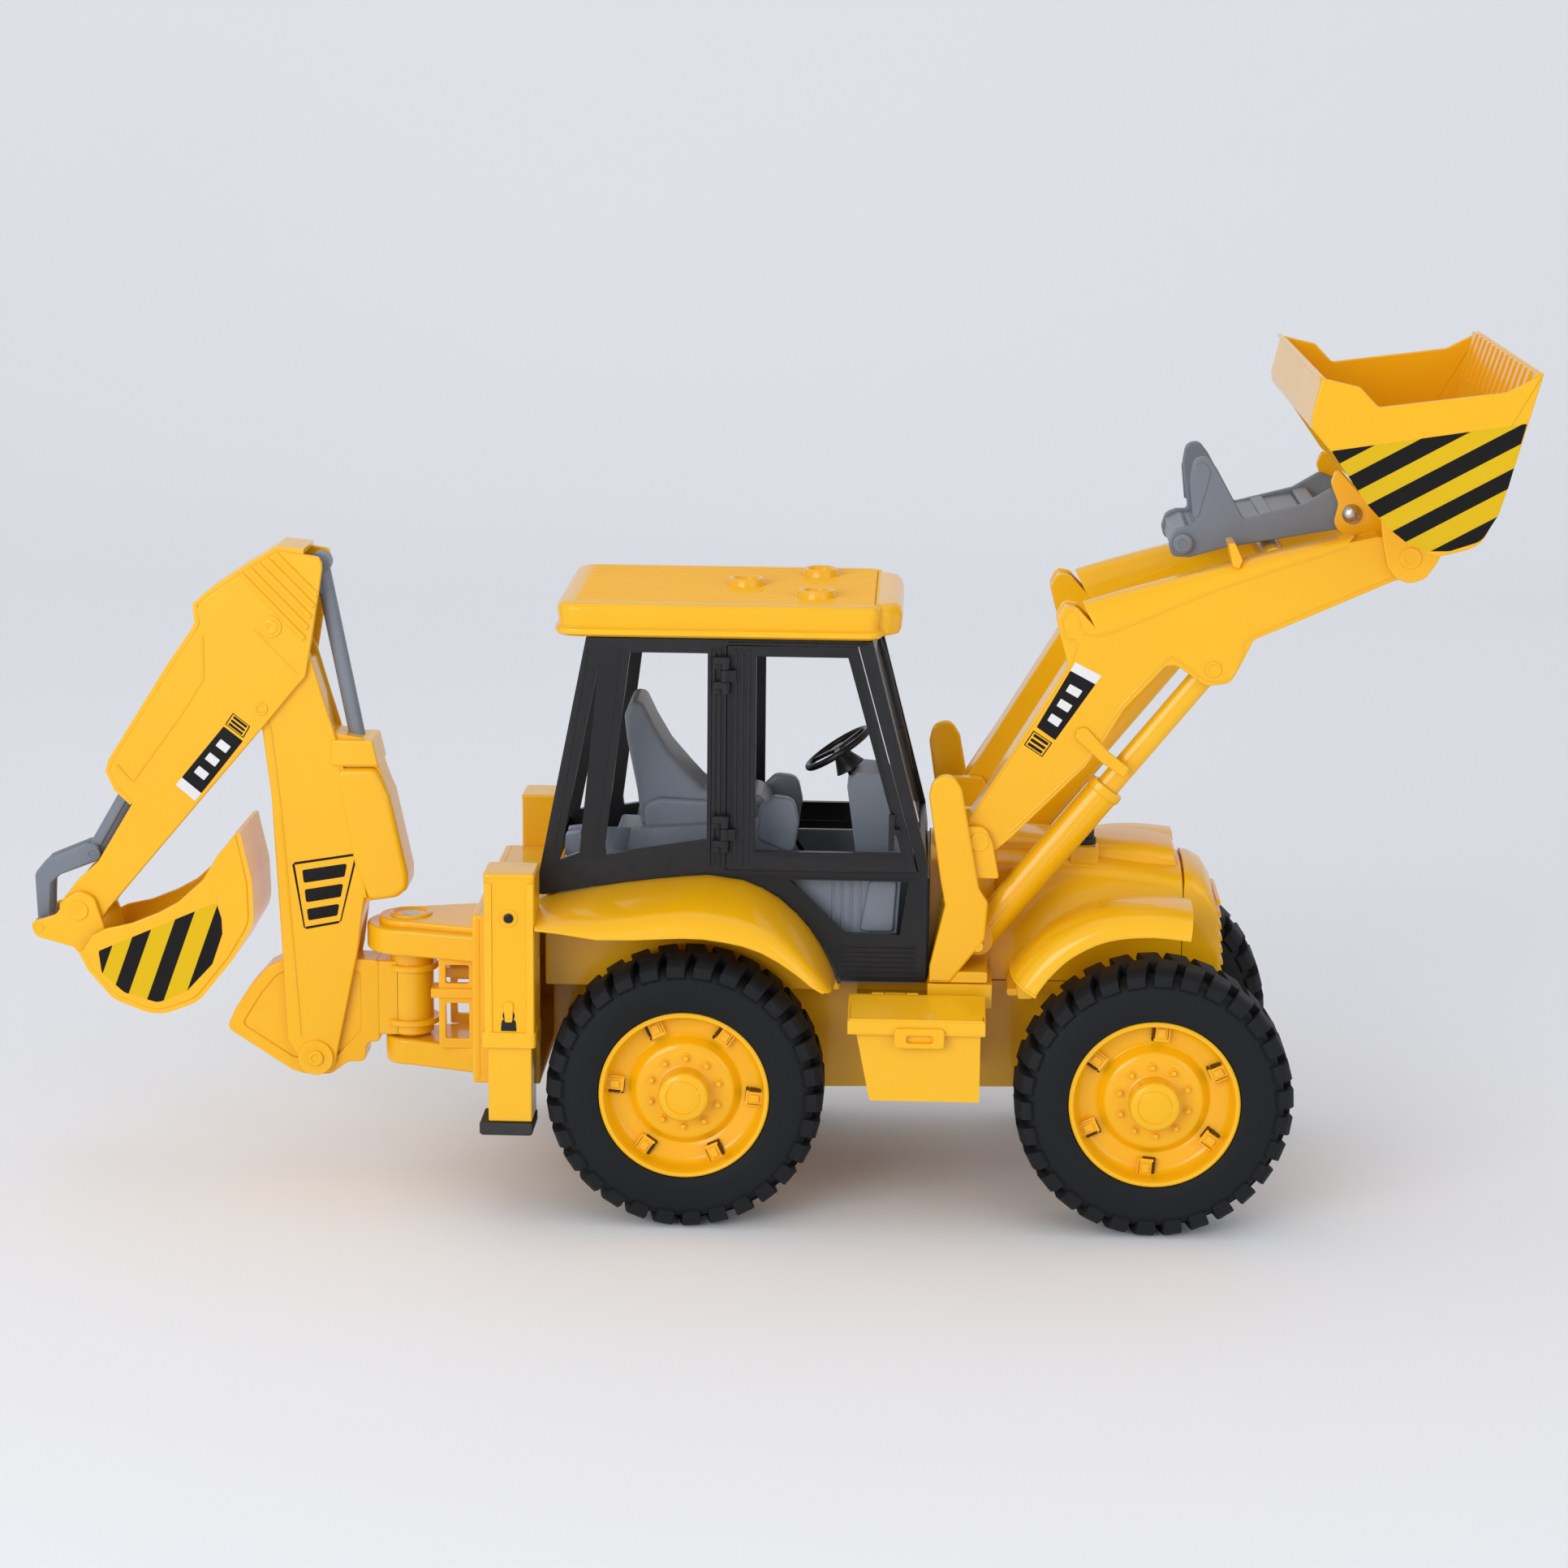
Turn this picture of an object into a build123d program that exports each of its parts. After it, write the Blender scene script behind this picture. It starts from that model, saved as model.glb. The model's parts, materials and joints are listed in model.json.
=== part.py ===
"""Toy backhoe loader: separate mouldings, pins, rods and wheels in one frame.

+X points forward to the loader bucket, +Y to the vehicle's left, +Z up. The origin is on the
ground under the middle of the model. Side outlines are (forward of the rear axle, above ground).
"""
from build123d import *
import math
import os

os.makedirs("parts", exist_ok=True)

# Driving dimensions, mm
rear_axle_x = -25.8
wheelbase = 202
tyre_radius = 60
tyre_outer_y = 94
tyre_width = 38
rim_radius = 36.8
axle_radius = 4
running_gap = 0.08
part_gap = 0.4
wall = 2.6
cab_side_y = 52
arm_inner_y = 36
arm_outer_y = 53.5
arm_mid_y = (arm_inner_y + arm_outer_y) / 2

# Pivots as (forward of the rear axle, above ground)
front_axle = (wheelbase, tyre_radius)
arm_pivot = (125.3, 166.4)
lift_foot = (125.5, 120.5)
lift_eye = (223.7, 242.9)
bucket_pivot = (305, 293)
tilt_pin_at = (282.2, 308)
swing_axis_x = -129.5
boom_pivot = (-172, 50)
dipper_pivot = (-188.5, 248)
ram_eye = (-168, 275)
ram_guide = (-152, 193)
scoop_pivot = (-277, 118)
link_joint = (-272, 141.5)
link_end = (-295.6, 110)
door_hinge = (14.8, 54.6)
lid_hinge = (64.4, 98.2)


def plate(points, y_min, y_max, rounding=0, mode=Mode.ADD):
    """A side outline standing between two Y positions."""
    with BuildSketch(Plane.XZ.offset(-y_max)) as face:
        Polygon(*[(rear_axle_x + x, z) for x, z in points], align=None)
        if rounding:
            fillet(face.vertices(), rounding)
    extrude(to_extrude=face.sketch, amount=y_max - y_min, mode=mode)


def inner_plate(points, inset, y_min, y_max, mode=Mode.SUBTRACT):
    """The same outline shrunk all round by a wall thickness."""
    with BuildSketch(Plane.XZ.offset(-y_max)) as face:
        Polygon(*[(rear_axle_x + x, z) for x, z in points], align=None)
        offset(amount=-inset, kind=Kind.INTERSECTION)
    extrude(to_extrude=face.sketch, amount=y_max - y_min, mode=mode)


def cross_bar(centre, y_min, y_max, radius, mode=Mode.ADD):
    """A round bar lying across the vehicle."""
    with BuildSketch(Plane.XZ.offset(-y_max)) as face:
        with Locations((rear_axle_x + centre[0], centre[1])):
            Circle(radius)
    extrude(to_extrude=face.sketch, amount=y_max - y_min, mode=mode)


def block(x_range, y_range, z_range, mode=Mode.ADD):
    """A plain box between limits."""
    with BuildSketch(Plane.XY.offset(z_range[0])) as face:
        with Locations((rear_axle_x + sum(x_range) / 2, sum(y_range) / 2)):
            Rectangle(x_range[1] - x_range[0], y_range[1] - y_range[0])
    extrude(to_extrude=face.sketch, amount=z_range[1] - z_range[0], mode=mode)


def post(x, y, z_min, z_max, radius, mode=Mode.ADD):
    """A round upright."""
    with BuildSketch(Plane.XY.offset(z_min)) as face:
        with Locations((rear_axle_x + x, y)):
            Circle(radius)
    extrude(to_extrude=face.sketch, amount=z_max - z_min, mode=mode)


def flat(points, z_min, z_max, rounding=0, mode=Mode.ADD):
    """A plan outline standing between two heights."""
    with BuildSketch(Plane.XY.offset(z_min)) as face:
        Polygon(*[(rear_axle_x + x, y) for x, y in points], align=None)
        if rounding:
            fillet(face.vertices(), rounding)
    extrude(to_extrude=face.sketch, amount=z_max - z_min, mode=mode)


def rod(start, end, y, radius, mode=Mode.ADD):
    """A round rod between two points of the side view."""
    run = (end[0] - start[0], 0, end[1] - start[1])
    length = math.hypot(run[0], run[2])
    with BuildSketch(Plane(origin=(rear_axle_x + start[0], y, start[1]), z_dir=run)) as face:
        Circle(radius)
    extrude(to_extrude=face.sketch, amount=length, mode=mode)


def lid_bar(x_low, length, radius, mode=Mode.ADD):
    """A round bar along the lid hinge."""
    at_hinge = Plane(origin=(rear_axle_x + x_low, -lid_hinge[0], lid_hinge[1]), z_dir=(1, 0, 0))
    with BuildSketch(at_hinge) as face:
        Circle(radius)
    extrude(to_extrude=face.sketch, amount=length, mode=mode)


def across(points, x_low, x_high, mode=Mode.ADD):
    """A front-view outline (across, up) standing between two stations along the vehicle."""
    with BuildSketch(Plane.YZ.offset(rear_axle_x + x_low)) as face:
        Polygon(*points, align=None)
    extrude(to_extrude=face.sketch, amount=x_high - x_low, mode=mode)


def along(start, end, distance):
    """The point at a distance from start towards end."""
    run = (end[0] - start[0], end[1] - start[1])
    length = math.hypot(run[0], run[1])
    return (start[0] + run[0] * distance / length, start[1] + run[1] * distance / length)


def both(feature, y_near, y_far, *rest, **named):
    """Adds a feature of the right side and its match on the left."""
    feature(*rest, -y_far, -y_near, **named)
    feature(*rest, y_near, y_far, **named)


def save(part, name):
    """Labels a part and writes its file."""
    part.label = name
    export_step(part, "parts/" + name + ".step")


def save_pair(part, name):
    """Writes the right-hand part and its mirror image for the left."""
    save(part, name + "_right")
    save(part.mirror(Plane.XZ), name + "_left")


# Side outlines shared by the toolbox and the closed tank opposite
box_side = [(73, 92), (79.8, 58.4), (127, 58.4), (127, 92)]
box_bay = [(75.6, 100), (75.6, 92), (82, 60.8), (124.4, 60.8), (124.4, 100)]
box_core = [(75.6, 50), (83, 60.8), (83, 89.6), (124.4, 89.6), (124.4, 50)]

# Chassis: a downward-opening trough that carries the axles, towers and toolboxes
with BuildPart() as chassis:
    plate([(-62, 97), (-62, 62), (-20, 50), (20, 46), (236, 50), (236, 97)], -30, 30)
    block((-58, 232), (-27, 27), (0, 93.5), mode=Mode.SUBTRACT)
    block((60, 64), (-28, 28), (60, 95))
    block((150, 154), (-28, 28), (60, 95))
    both(plate, 29.6, 62, [(104, 93), (104, 103.6), (132, 103.6), (132, 93)])
    cross_bar((0, tyre_radius), -40, 40, axle_radius + running_gap, mode=Mode.SUBTRACT)
    block((192, 212), (-40, 40), (51.6, 68.4), mode=Mode.SUBTRACT)
    block((181, 191), (-40, 40), (65.5, 71), mode=Mode.SUBTRACT)
    plate(box_side, 29.6, 88.5)
    plate([(75.6, 50), (83, 60.8), (83, 84), (124.4, 84), (124.4, 50)], 33, 86, mode=Mode.SUBTRACT)
    across([(62.4, 90), (62.4, 99.6), (70, 99.6), (91.6, 94.6), (91.6, 88.6), (88, 88.6), (88, 90)],
        70, 103.6)
    across([(61.8, 90), (61.8, 99.6), (70, 99.6), (91.6, 94.6), (91.6, 88.6), (88, 88.6), (88, 90)],
        103.4, 129)
    block((90.6, 111), (90.4, 92.8), (83.4, 91))
save(chassis.part, "chassis")

with BuildPart() as rear_axle:
    cross_bar((0, tyre_radius), -90, 90, axle_radius)
    both(cross_bar, 30.5, 36, (0, tyre_radius), radius=8)
save(rear_axle.part, "rear_axle")

# Front axle: a beam through the chassis with a forked end for each steering knuckle
kingpin_y = 50
with BuildPart() as front_axle_beam:
    block((192.4, 211.6), (-42, 42), (52, 68))
    both(plate, 40, 54, [(195, 76), (209, 76), (209, 71), (195, 71)])
    both(plate, 40, 54, [(195, 49), (209, 49), (209, 44), (195, 44)])
    both(plate, 38, 42, [(195, 76), (209, 76), (209, 44), (195, 44)])
    for side in (-1, 1):
        post(wheelbase, side * kingpin_y, 40, 80, 2 + running_gap, mode=Mode.SUBTRACT)
save(front_axle_beam.part, "front_axle_beam")

# Steering knuckle: moulded kingpin, stub axle outwards, arm and peg to the tie rod
tie_rod_x = wheelbase - 16
with BuildPart() as knuckle:
    post(wheelbase, -kingpin_y, 49.5, 70.5, 6)
    post(wheelbase, -kingpin_y, 44.4, 77.4, 2)
    cross_bar(front_axle, -90, -kingpin_y, axle_radius)
    block((tie_rod_x - 3, wheelbase), (-kingpin_y - 3, -kingpin_y + 3), (62, 66))
    post(tie_rod_x, -kingpin_y, 62, 66, 3.4)
    post(tie_rod_x, -kingpin_y, 66, 71, 1.5)
save_pair(knuckle.part, "steering_knuckle")

with BuildPart() as tie_rod:
    block((tie_rod_x - 3.5, tie_rod_x + 3.5), (-kingpin_y - 4, kingpin_y + 4), (66.6, 69.6))
    for side in (-1, 1):
        post(tie_rod_x, side * kingpin_y, 60, 75, 2.1, mode=Mode.SUBTRACT)
save(tie_rod.part, "tie_rod")


# Wheel parts are shaped standing on +Z from the inner face outwards, then laid on their axle
lug_count = 30

with BuildPart() as tyre:
    with BuildSketch(Plane.XZ) as tyre_profile:
        with BuildLine():
            Polyline(
                (rim_radius + 0.1, 3),
                (rim_radius + 0.1, tyre_width - 3),
                (rim_radius + 4, tyre_width - 1),
                (49, tyre_width),
                (55, tyre_width - 2),
                (tyre_radius - 1, tyre_width - 6),
                (tyre_radius, tyre_width / 2),
                (tyre_radius - 1, 6),
                (55, 2),
                (49, 0),
                (rim_radius + 4, 1),
                close=True,
            )
        make_face()
    revolve(axis=Axis.Z)
    for low, shift in ((tyre_width - 14, 0), (-1, 0.5)):
        with BuildSketch(Plane.XY.offset(low)) as groove:
            with PolarLocations(0, lug_count, start_angle=shift * 360 / lug_count):
                with Locations((58.5, 0)):
                    Rectangle(12, 2.6)
        extrude(to_extrude=groove.sketch, amount=15, mode=Mode.SUBTRACT)

with BuildPart() as rim:
    with BuildSketch(Plane.XZ) as rim_profile:
        with BuildLine():
            Polyline(
                (axle_radius + running_gap, 4),
                (axle_radius + running_gap, 35.6),
                (0, 35.6),
                (0, 40.6),
                (7.5, 40.6),
                (10.6, 39),
                (11, 31),
                (21.5, 30),
                (23, 27.5),
                (30, 26),
                (33, 27),
                (34.8, tyre_width - 1.6),
                (rim_radius, tyre_width - 1.6),
                (rim_radius, 2),
                (34.4, 2),
                (34.4, 22),
                (30, 23),
                (22, 24),
                (9, 25),
                (9, 4),
                close=True,
            )
        make_face()
    revolve(axis=Axis.Z)
    with BuildSketch(Plane.XY.offset(24)):
        with PolarLocations(30, 6, start_angle=12):
            Rectangle(5.5, 5)
    extrude(amount=6)
    with BuildSketch(Plane.XY.offset(28)):
        with PolarLocations(15.2, 10):
            Circle(1.5)
    extrude(amount=4.2)


def wheel_place(centre, side):
    """Where a wheel stands: its own +Z turned outwards across the vehicle."""
    inner = side * (tyre_outer_y - tyre_width)
    return Location((rear_axle_x + centre[0], inner, centre[1]), (side * -90, 0, 0))


for axle_name, centre in (("rear", (0, tyre_radius)), ("front", front_axle)):
    for side_name, side in (("right", -1), ("left", 1)):
        save(wheel_place(centre, side) * tyre.part, axle_name + "_tyre_" + side_name)
        save(wheel_place(centre, side) * rim.part, axle_name + "_rim_" + side_name)

# Rear body: a deck on the chassis, an inner wall beside each wheel and an arched fender over it
arch = [
    (-63.6, 137), (-41, 142), (-14, 146), (7, 148), (23, 146), (39, 138), (52, 125), (60, 112),
    (65, 101),
]
fender_low = [
    (-70, 132), (-46, 128), (-17, 129), (-1, 130), (14, 129), (28, 126), (38, 121), (49, 115),
    (55, 108.5),
]
fender_depth = 39
with BuildPart() as rear_fender:
    with BuildSketch(Plane.XZ.offset(cab_side_y - 0.5)) as fender_face:
        Polygon(*[(rear_axle_x + x, z) for x, z in arch + [(66, 60), (-63.6, 60)]], align=None)
        fillet(fender_face.vertices().filter_by_position(Axis.Z, 105, 147), 6)
    extrude(to_extrude=fender_face.sketch, amount=fender_depth, taper=14)
    with BuildSketch(Plane.XZ.offset(cab_side_y - 1)) as fender_hollow:
        Polygon(*[(rear_axle_x + x, z) for x, z in arch + [(66, 60), (-63.6, 60)]], align=None)
        offset(amount=-2.6, kind=Kind.INTERSECTION)
    extrude(to_extrude=fender_hollow.sketch, amount=fender_depth - 1.6, taper=14, mode=Mode.SUBTRACT)
    plate(fender_low + [(58.5, 106.5), (70, 106.5), (70, 50), (-70, 50)], -100, -40, mode=Mode.SUBTRACT)

with BuildPart() as rear_body:
    block((-63.6, 66), (-49, 49), (97.3, 99.6))
    both(plate, 49, cab_side_y, arch + [(66, 97.3), (-63.6, 97.3)])
    block((-63.6, -61), (-49.5, 49.5), (97.3, 128))
    add(rear_fender.part)
    add(rear_fender.part.mirror(Plane.XZ))
save(rear_body.part, "rear_body")

# Cab frame: both sides with their window openings, joined by rails front and rear
cab_arch = [(99, 101.5), (66, 101.5), (61, 112.6), (53, 125.8), (39.7, 138.9), (23.3, 146.9), (7, 148.8)]
cab_side = [(-45.5, 252.2), (78, 252.2), (102, 160), (103.2, 150), (103.2, 101.5)] + cab_arch[1:]
cab_side = cab_side + [(-14, 146.6), (-41, 142.6), (-63.6, 138), (-67.5, 138), (-66.5, 146)]
door_opening = [(15.1, 249.9), (72, 249.9), (97, 160), (99.4, 150.3), (15.1, 150.3)]
with BuildPart() as cab_frame:
    both(plate, 48.6, cab_side_y, cab_side)
    both(plate, 40, 60, [(-40, 241), (-48.5, 157), (-57.5, 153.5)], mode=Mode.SUBTRACT)
    both(plate, 40, 60, [(-26.5, 246), (7, 246), (7, 163.6), (-37, 156.2), (-37.5, 160)],
        mode=Mode.SUBTRACT)
    both(plate, 40, 60, door_opening, mode=Mode.SUBTRACT)
    both(plate, 40, 60, [(43, 146.6), (95, 146.6), (91.5, 122.6), (68, 122.6)], mode=Mode.SUBTRACT)
    block((-45.5, 78), (-48.6, -44), (249.9, 252.2))
    block((-45.5, 78), (44, 48.6), (249.9, 252.2))
    plate([(-45.5, 252.2), (-41, 252.2), (-43, 244), (-47, 244)], -48.6, 48.6)
    plate([(-67.5, 138), (-66.5, 146), (-65, 150), (-62, 150), (-63.4, 138)], -48.6, 48.6)
    plate([(73, 252.2), (78, 252.2), (79.6, 246.5), (76.6, 246.5)], -48.6, 48.6)
    plate([(99.6, 101.5), (103.2, 101.5), (103.2, 150), (102, 160), (99.6, 160)], -48.6, 48.6)
    for side in (-1, 1):
        for low in (159, 229):
            for base in (low, low + 10.8):
                post(door_hinge[0], side * door_hinge[1], base, base + 5, 2.2)
                block((9.4, 14.8), sorted((side * 51.8, side * 55.4)), (base, base + 5))
            post(door_hinge[0], side * door_hinge[1], low - 1, low + 17, 1.08, mode=Mode.SUBTRACT)
    plate([(78.4, 250), (79.8, 250), (94.4, 195), (93, 194.6)], -12, -10.4)
    plate([(77, 249), (79.4, 249), (80.6, 244), (78.6, 244)], -14, -8.4)
    for rib in (9, 11.5):
        for side in (-1, 1):
            block((rib, rib + 1.2), sorted((side * 51.8, side * 52.6)), (152, 248))
save(cab_frame.part, "cab_frame")

# Door: one glazed leaf hung on the middle post, opening outwards
with BuildPart() as door:
    plate([(15.6, 249.5), (71.6, 249.5), (96.4, 160), (98.7, 150.8), (15.6, 150.8)], -52.2, -49)
    plate([(28, 245), (67.5, 245), (91.6, 159), (28, 159)], -60, -40, mode=Mode.SUBTRACT)
    for low in (159, 229):
        post(door_hinge[0], -door_hinge[1], low + 5.4, low + 10.4, 2.2)
        block((15.6, 19.5), (-56, -51.9), (low + 5.4, low + 10.4))
        post(door_hinge[0], -door_hinge[1], low, low + 17, 1.08, mode=Mode.SUBTRACT)
    for rib in (18.5, 21.3, 24.1):
        block((rib, rib + 1.3), (-52.9, -52.1), (153, 248))
    block((88, 91), (-55.5, -52.1), (168, 170.5))
    block((86, 88.6), (-55.5, -53.8), (161, 177))
save_pair(door.part, "cab_door")

with BuildPart() as windscreen:
    plate([(75.6, 246), (77.2, 246), (99.2, 160.4), (97.4, 160.4)], -48.2, 48.2)
save(windscreen.part, "windscreen")

# Roof: crowned panel with lengthwise ribs, a stepped front visor and three lamp seats
roof_side = [
    (-45, 252.6), (-56, 254.4), (-59.5, 261), (-57, 266), (-52, 267.6), (80, 267.6), (82.5, 264),
    (80, 255), (75.5, 252.6),
]
with BuildPart() as roof:
    plate(roof_side, -58, 58)
    chamfer(roof.edges().filter_by(Axis.X).group_by(Axis.Z)[-1], 3.4)
    plate([(74, 266), (86, 267.6), (91.5, 262), (88, 255), (84, 253.4), (74, 253.4)], -49, 49)
    block((-41, 72), (-43.5, 43.5), (252, 260), mode=Mode.SUBTRACT)
    for rib in range(-11, 12):
        block((-50, 74), (rib * 4 - 0.8, rib * 4 + 0.8), (267.5, 268.1))
    for x, y in ((53, -30), (53, 30), (21, 0)):
        post(x, y, 267, 271, 8)
        post(x, y, 269.6, 272, 5.4, mode=Mode.SUBTRACT)
        post(x, y, 269, 270.4, 3)
save(roof.part, "roof")

# Cab interior
wheel_centre = (62.5, 194.7)
column_foot = (68.3, 185.8)
steering_shaft_radius = 2.4
console_side = [(67, 181), (71, 187), (85, 186), (97, 158), (97.8, 101), (80, 101), (72, 140), (71, 152)]
arm_box = [(-30, 149), (-28, 162), (24, 166), (40, 176), (43, 168), (40, 149)]
with BuildPart() as cab_tub:
    block((-60.6, 98.8), (-48.2, 48.2), (99.8, 102))
    plate([(-44, 101), (-44, 150), (40, 150), (46, 138), (46, 101)], -30, 30)
    inner_plate([(-44, 96), (-44, 150), (40, 150), (46, 138), (46, 96)], 2.4, -27.6, 27.6)
    block((-60.2, -43.8), (-42, 42), (101, 134))
    block((-58, -46.4), (-39.6, 39.6), (98, 131.6), mode=Mode.SUBTRACT)
    for side in (-1, 1):
        plate([(82, 101), (88, 101), (84, 112), (79, 114)], side * 20 - 3, side * 20 + 3)
        plate([(-59, 146), (-58.6, 155), (-52, 156), (-49, 148), (-51, 140)], side * 6 - 3, side * 6 + 3)
        post(-55, side * 16, 133, 138, 4)
    plate([(-58.6, 133), (-58.6, 141), (-54, 145), (-48, 141), (-47, 133)], -12, 12)
    plate([(-37, 149), (-35, 159.8), (30, 157.8), (41, 164), (43, 149)], -13, 13, rounding=1.5)
    both(plate, 20.6, 26.6, arm_box, rounding=1.5)
    plate(console_side, -15, 15, rounding=2)
    steering_bore = (wheel_centre[0] + 13 * 1.093, wheel_centre[1] - 13 * 1.674)
    rod(wheel_centre, steering_bore, 0, steering_shaft_radius + running_gap, mode=Mode.SUBTRACT)
save(cab_tub.part, "cab_interior_tub")

seat_side = [(-29, 217), (-23, 217), (-19, 207), (-14, 198), (-5, 187), (3, 177), (28, 175.5), (33, 171)]
with BuildPart() as seat:
    plate(seat_side + [(32, 160.6), (-24, 161), (-26, 177), (-31, 200), (-32, 210)], -17, 17, rounding=1.8)
    both(plate, 14, 20, [(-24, 161), (-25, 176), (-18, 184), (-6, 184), (2, 174), (2, 161)], rounding=1.5)
save(seat.part, "driver_seat")

with BuildPart() as column:
    run = (column_foot[0] - wheel_centre[0], 0, column_foot[1] - wheel_centre[1])
    column_plane = Plane(origin=(rear_axle_x + wheel_centre[0], 0, wheel_centre[1]), z_dir=run)
    with BuildSketch(column_plane.offset(2.6)) as column_top:
        Circle(3.4)
    with BuildSketch(column_plane.offset(10.3)) as column_low:
        Circle(7)
    loft(sections=[column_top.sketch, column_low.sketch])
    with BuildSketch(column_plane.offset(10)) as shaft_face:
        Circle(steering_shaft_radius)
    extrude(to_extrude=shaft_face.sketch, amount=12)

with BuildPart() as steering_wheel:
    steering_ring = Torus(15.6, 1.5, mode=Mode.PRIVATE)
    add(column_plane * steering_ring)
    with BuildSketch(column_plane.offset(-1)) as hub_face:
        Circle(3.6)
    extrude(to_extrude=hub_face.sketch, amount=4)
    with BuildSketch(column_plane.offset(-0.7)) as spoke_face:
        with PolarLocations(0, 3, start_angle=30):
            with Locations((8, 0)):
                Rectangle(15, 2.6)
    extrude(to_extrude=spoke_face.sketch, amount=1.6)
    add(column.part)
save(steering_wheel.part, "steering_wheel")

# Bonnet, nose panel and exhaust
bonnet_side = [(104, 97.4), (104, 156), (150, 154.6), (177, 152.4), (215.7, 146.6), (215.7, 97.4)]
dome_side = [
    (104, 150), (104, 161), (150, 160), (178, 158.8), (197, 157.4), (210, 156.2), (213, 152),
    (213, 144),
]
with BuildPart() as bonnet:
    plate(bonnet_side, -29.4, 29.4)
    bonnet_top = bonnet.edges().filter_by(lambda e: abs(e.center().Y) > 29 and e.center().Z > 140)
    fillet(bonnet_top.filter_by(lambda e: e.length > 20), 5)
    plate(dome_side, -20, 20)
    block((106.6, 213.5), (-26.8, 26.8), (90, 141.5), mode=Mode.SUBTRACT)
    post(172.4, -20, 150, 152.4, 6.4)
save(bonnet.part, "bonnet")

nose_side = [(216.1, 97.4), (216.1, 150.6), (222, 149.6), (229, 142.6), (232, 130), (235.6, 97.4)]
with BuildPart() as nose:
    plate(nose_side, -29.4, 29.4)
    fillet(nose.edges().filter_by(lambda e: abs(e.center().Y) > 29 and e.center().Z > 120
        and e.center().X > 191), 3)
    block((210, 227), (-26.8, 26.8), (90, 139), mode=Mode.SUBTRACT)
    for slat in range(6):
        low = 104 + slat * 5.6
        block((226, 240), (-21, 21), (low, low + 2.6), mode=Mode.SUBTRACT)
save(nose.part, "nose_panel")

with BuildPart() as exhaust:
    post(172.4, -16, 159.8, 171, 4.3)
    post(172.4, -16, 166, 172, 3.2, mode=Mode.SUBTRACT)
save(exhaust.part, "exhaust_stack")

# Front fender: a curved guard over each front wheel on a foot from the chassis side
guard_line = [(141, 109), (150, 119), (160, 128.6), (170, 135), (182, 139), (198, 141), (217, 140)]
with BuildPart() as front_fender:
    plate(guard_line + [(218, 133), (198, 133.2), (184, 131), (172, 127), (162, 121.4), (154, 115),
        (149, 109)], -92, -57)
    hollow = [
        (146, 108), (153, 117.5), (162, 126.2), (171, 132.2), (182.5, 136.3), (198, 138.2),
        (219, 137.2),
    ]
    plate(hollow + [(219, 128), (198, 128), (172, 120), (150, 104)], -89.6, -50, mode=Mode.SUBTRACT)
    plate([(140.6, 97.4), (140.6, 109.4), (146, 115), (149, 115), (149, 97.4)], -76, -57)
    plate([(138, 97.4), (138, 101.4), (149, 101.4), (149, 97.4)], -76, -30.4)
save_pair(front_fender.part, "front_fender")

# Loader tower: outer and inner upright plates on the chassis arm
tower_side = [
    (104.6, 104), (104.6, 111.3), (110.9, 138.7), (108.9, 150.6), (103.4, 187), (105.4, 193.5),
    (110.9, 196), (115.8, 193.7), (117.3, 190), (125, 146.4), (128.8, 123.8), (113.5, 104),
]
with BuildPart() as tower:
    plate(tower_side, -62, -57.6)
    plate([(104.6, 104), (104.6, 111), (110.9, 138.7), (109, 150.6), (112, 176), (128, 176), (134, 160),
        (130, 104)], -35.2, -30.4)
    plate([(117, 171), (128, 171), (134, 164), (134.6, 150), (122, 150)], -57.8, -54.1)
    plate([(104.6, 104), (104.6, 109), (131, 109), (131, 104)], -62, -30.4)
    plate([(104.6, 104), (104.6, 111), (110, 134), (114.5, 134), (112, 104)], -62, -30.4)
    cross_bar(arm_pivot, -70, -20, 3.55, mode=Mode.SUBTRACT)
    cross_bar(lift_foot, -70, -20, 2.6, mode=Mode.SUBTRACT)
save_pair(tower.part, "loader_tower")

with BuildPart() as tower_pins:
    for side in (-1, 1):
        cross_bar(arm_pivot, *sorted((side * 56.8, side * 30.6)), 3.5)
        cross_bar(lift_foot, *sorted((side * 61.8, side * 30.6)), 2.5)
save(tower_pins.part, "loader_tower_pins")

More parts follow.
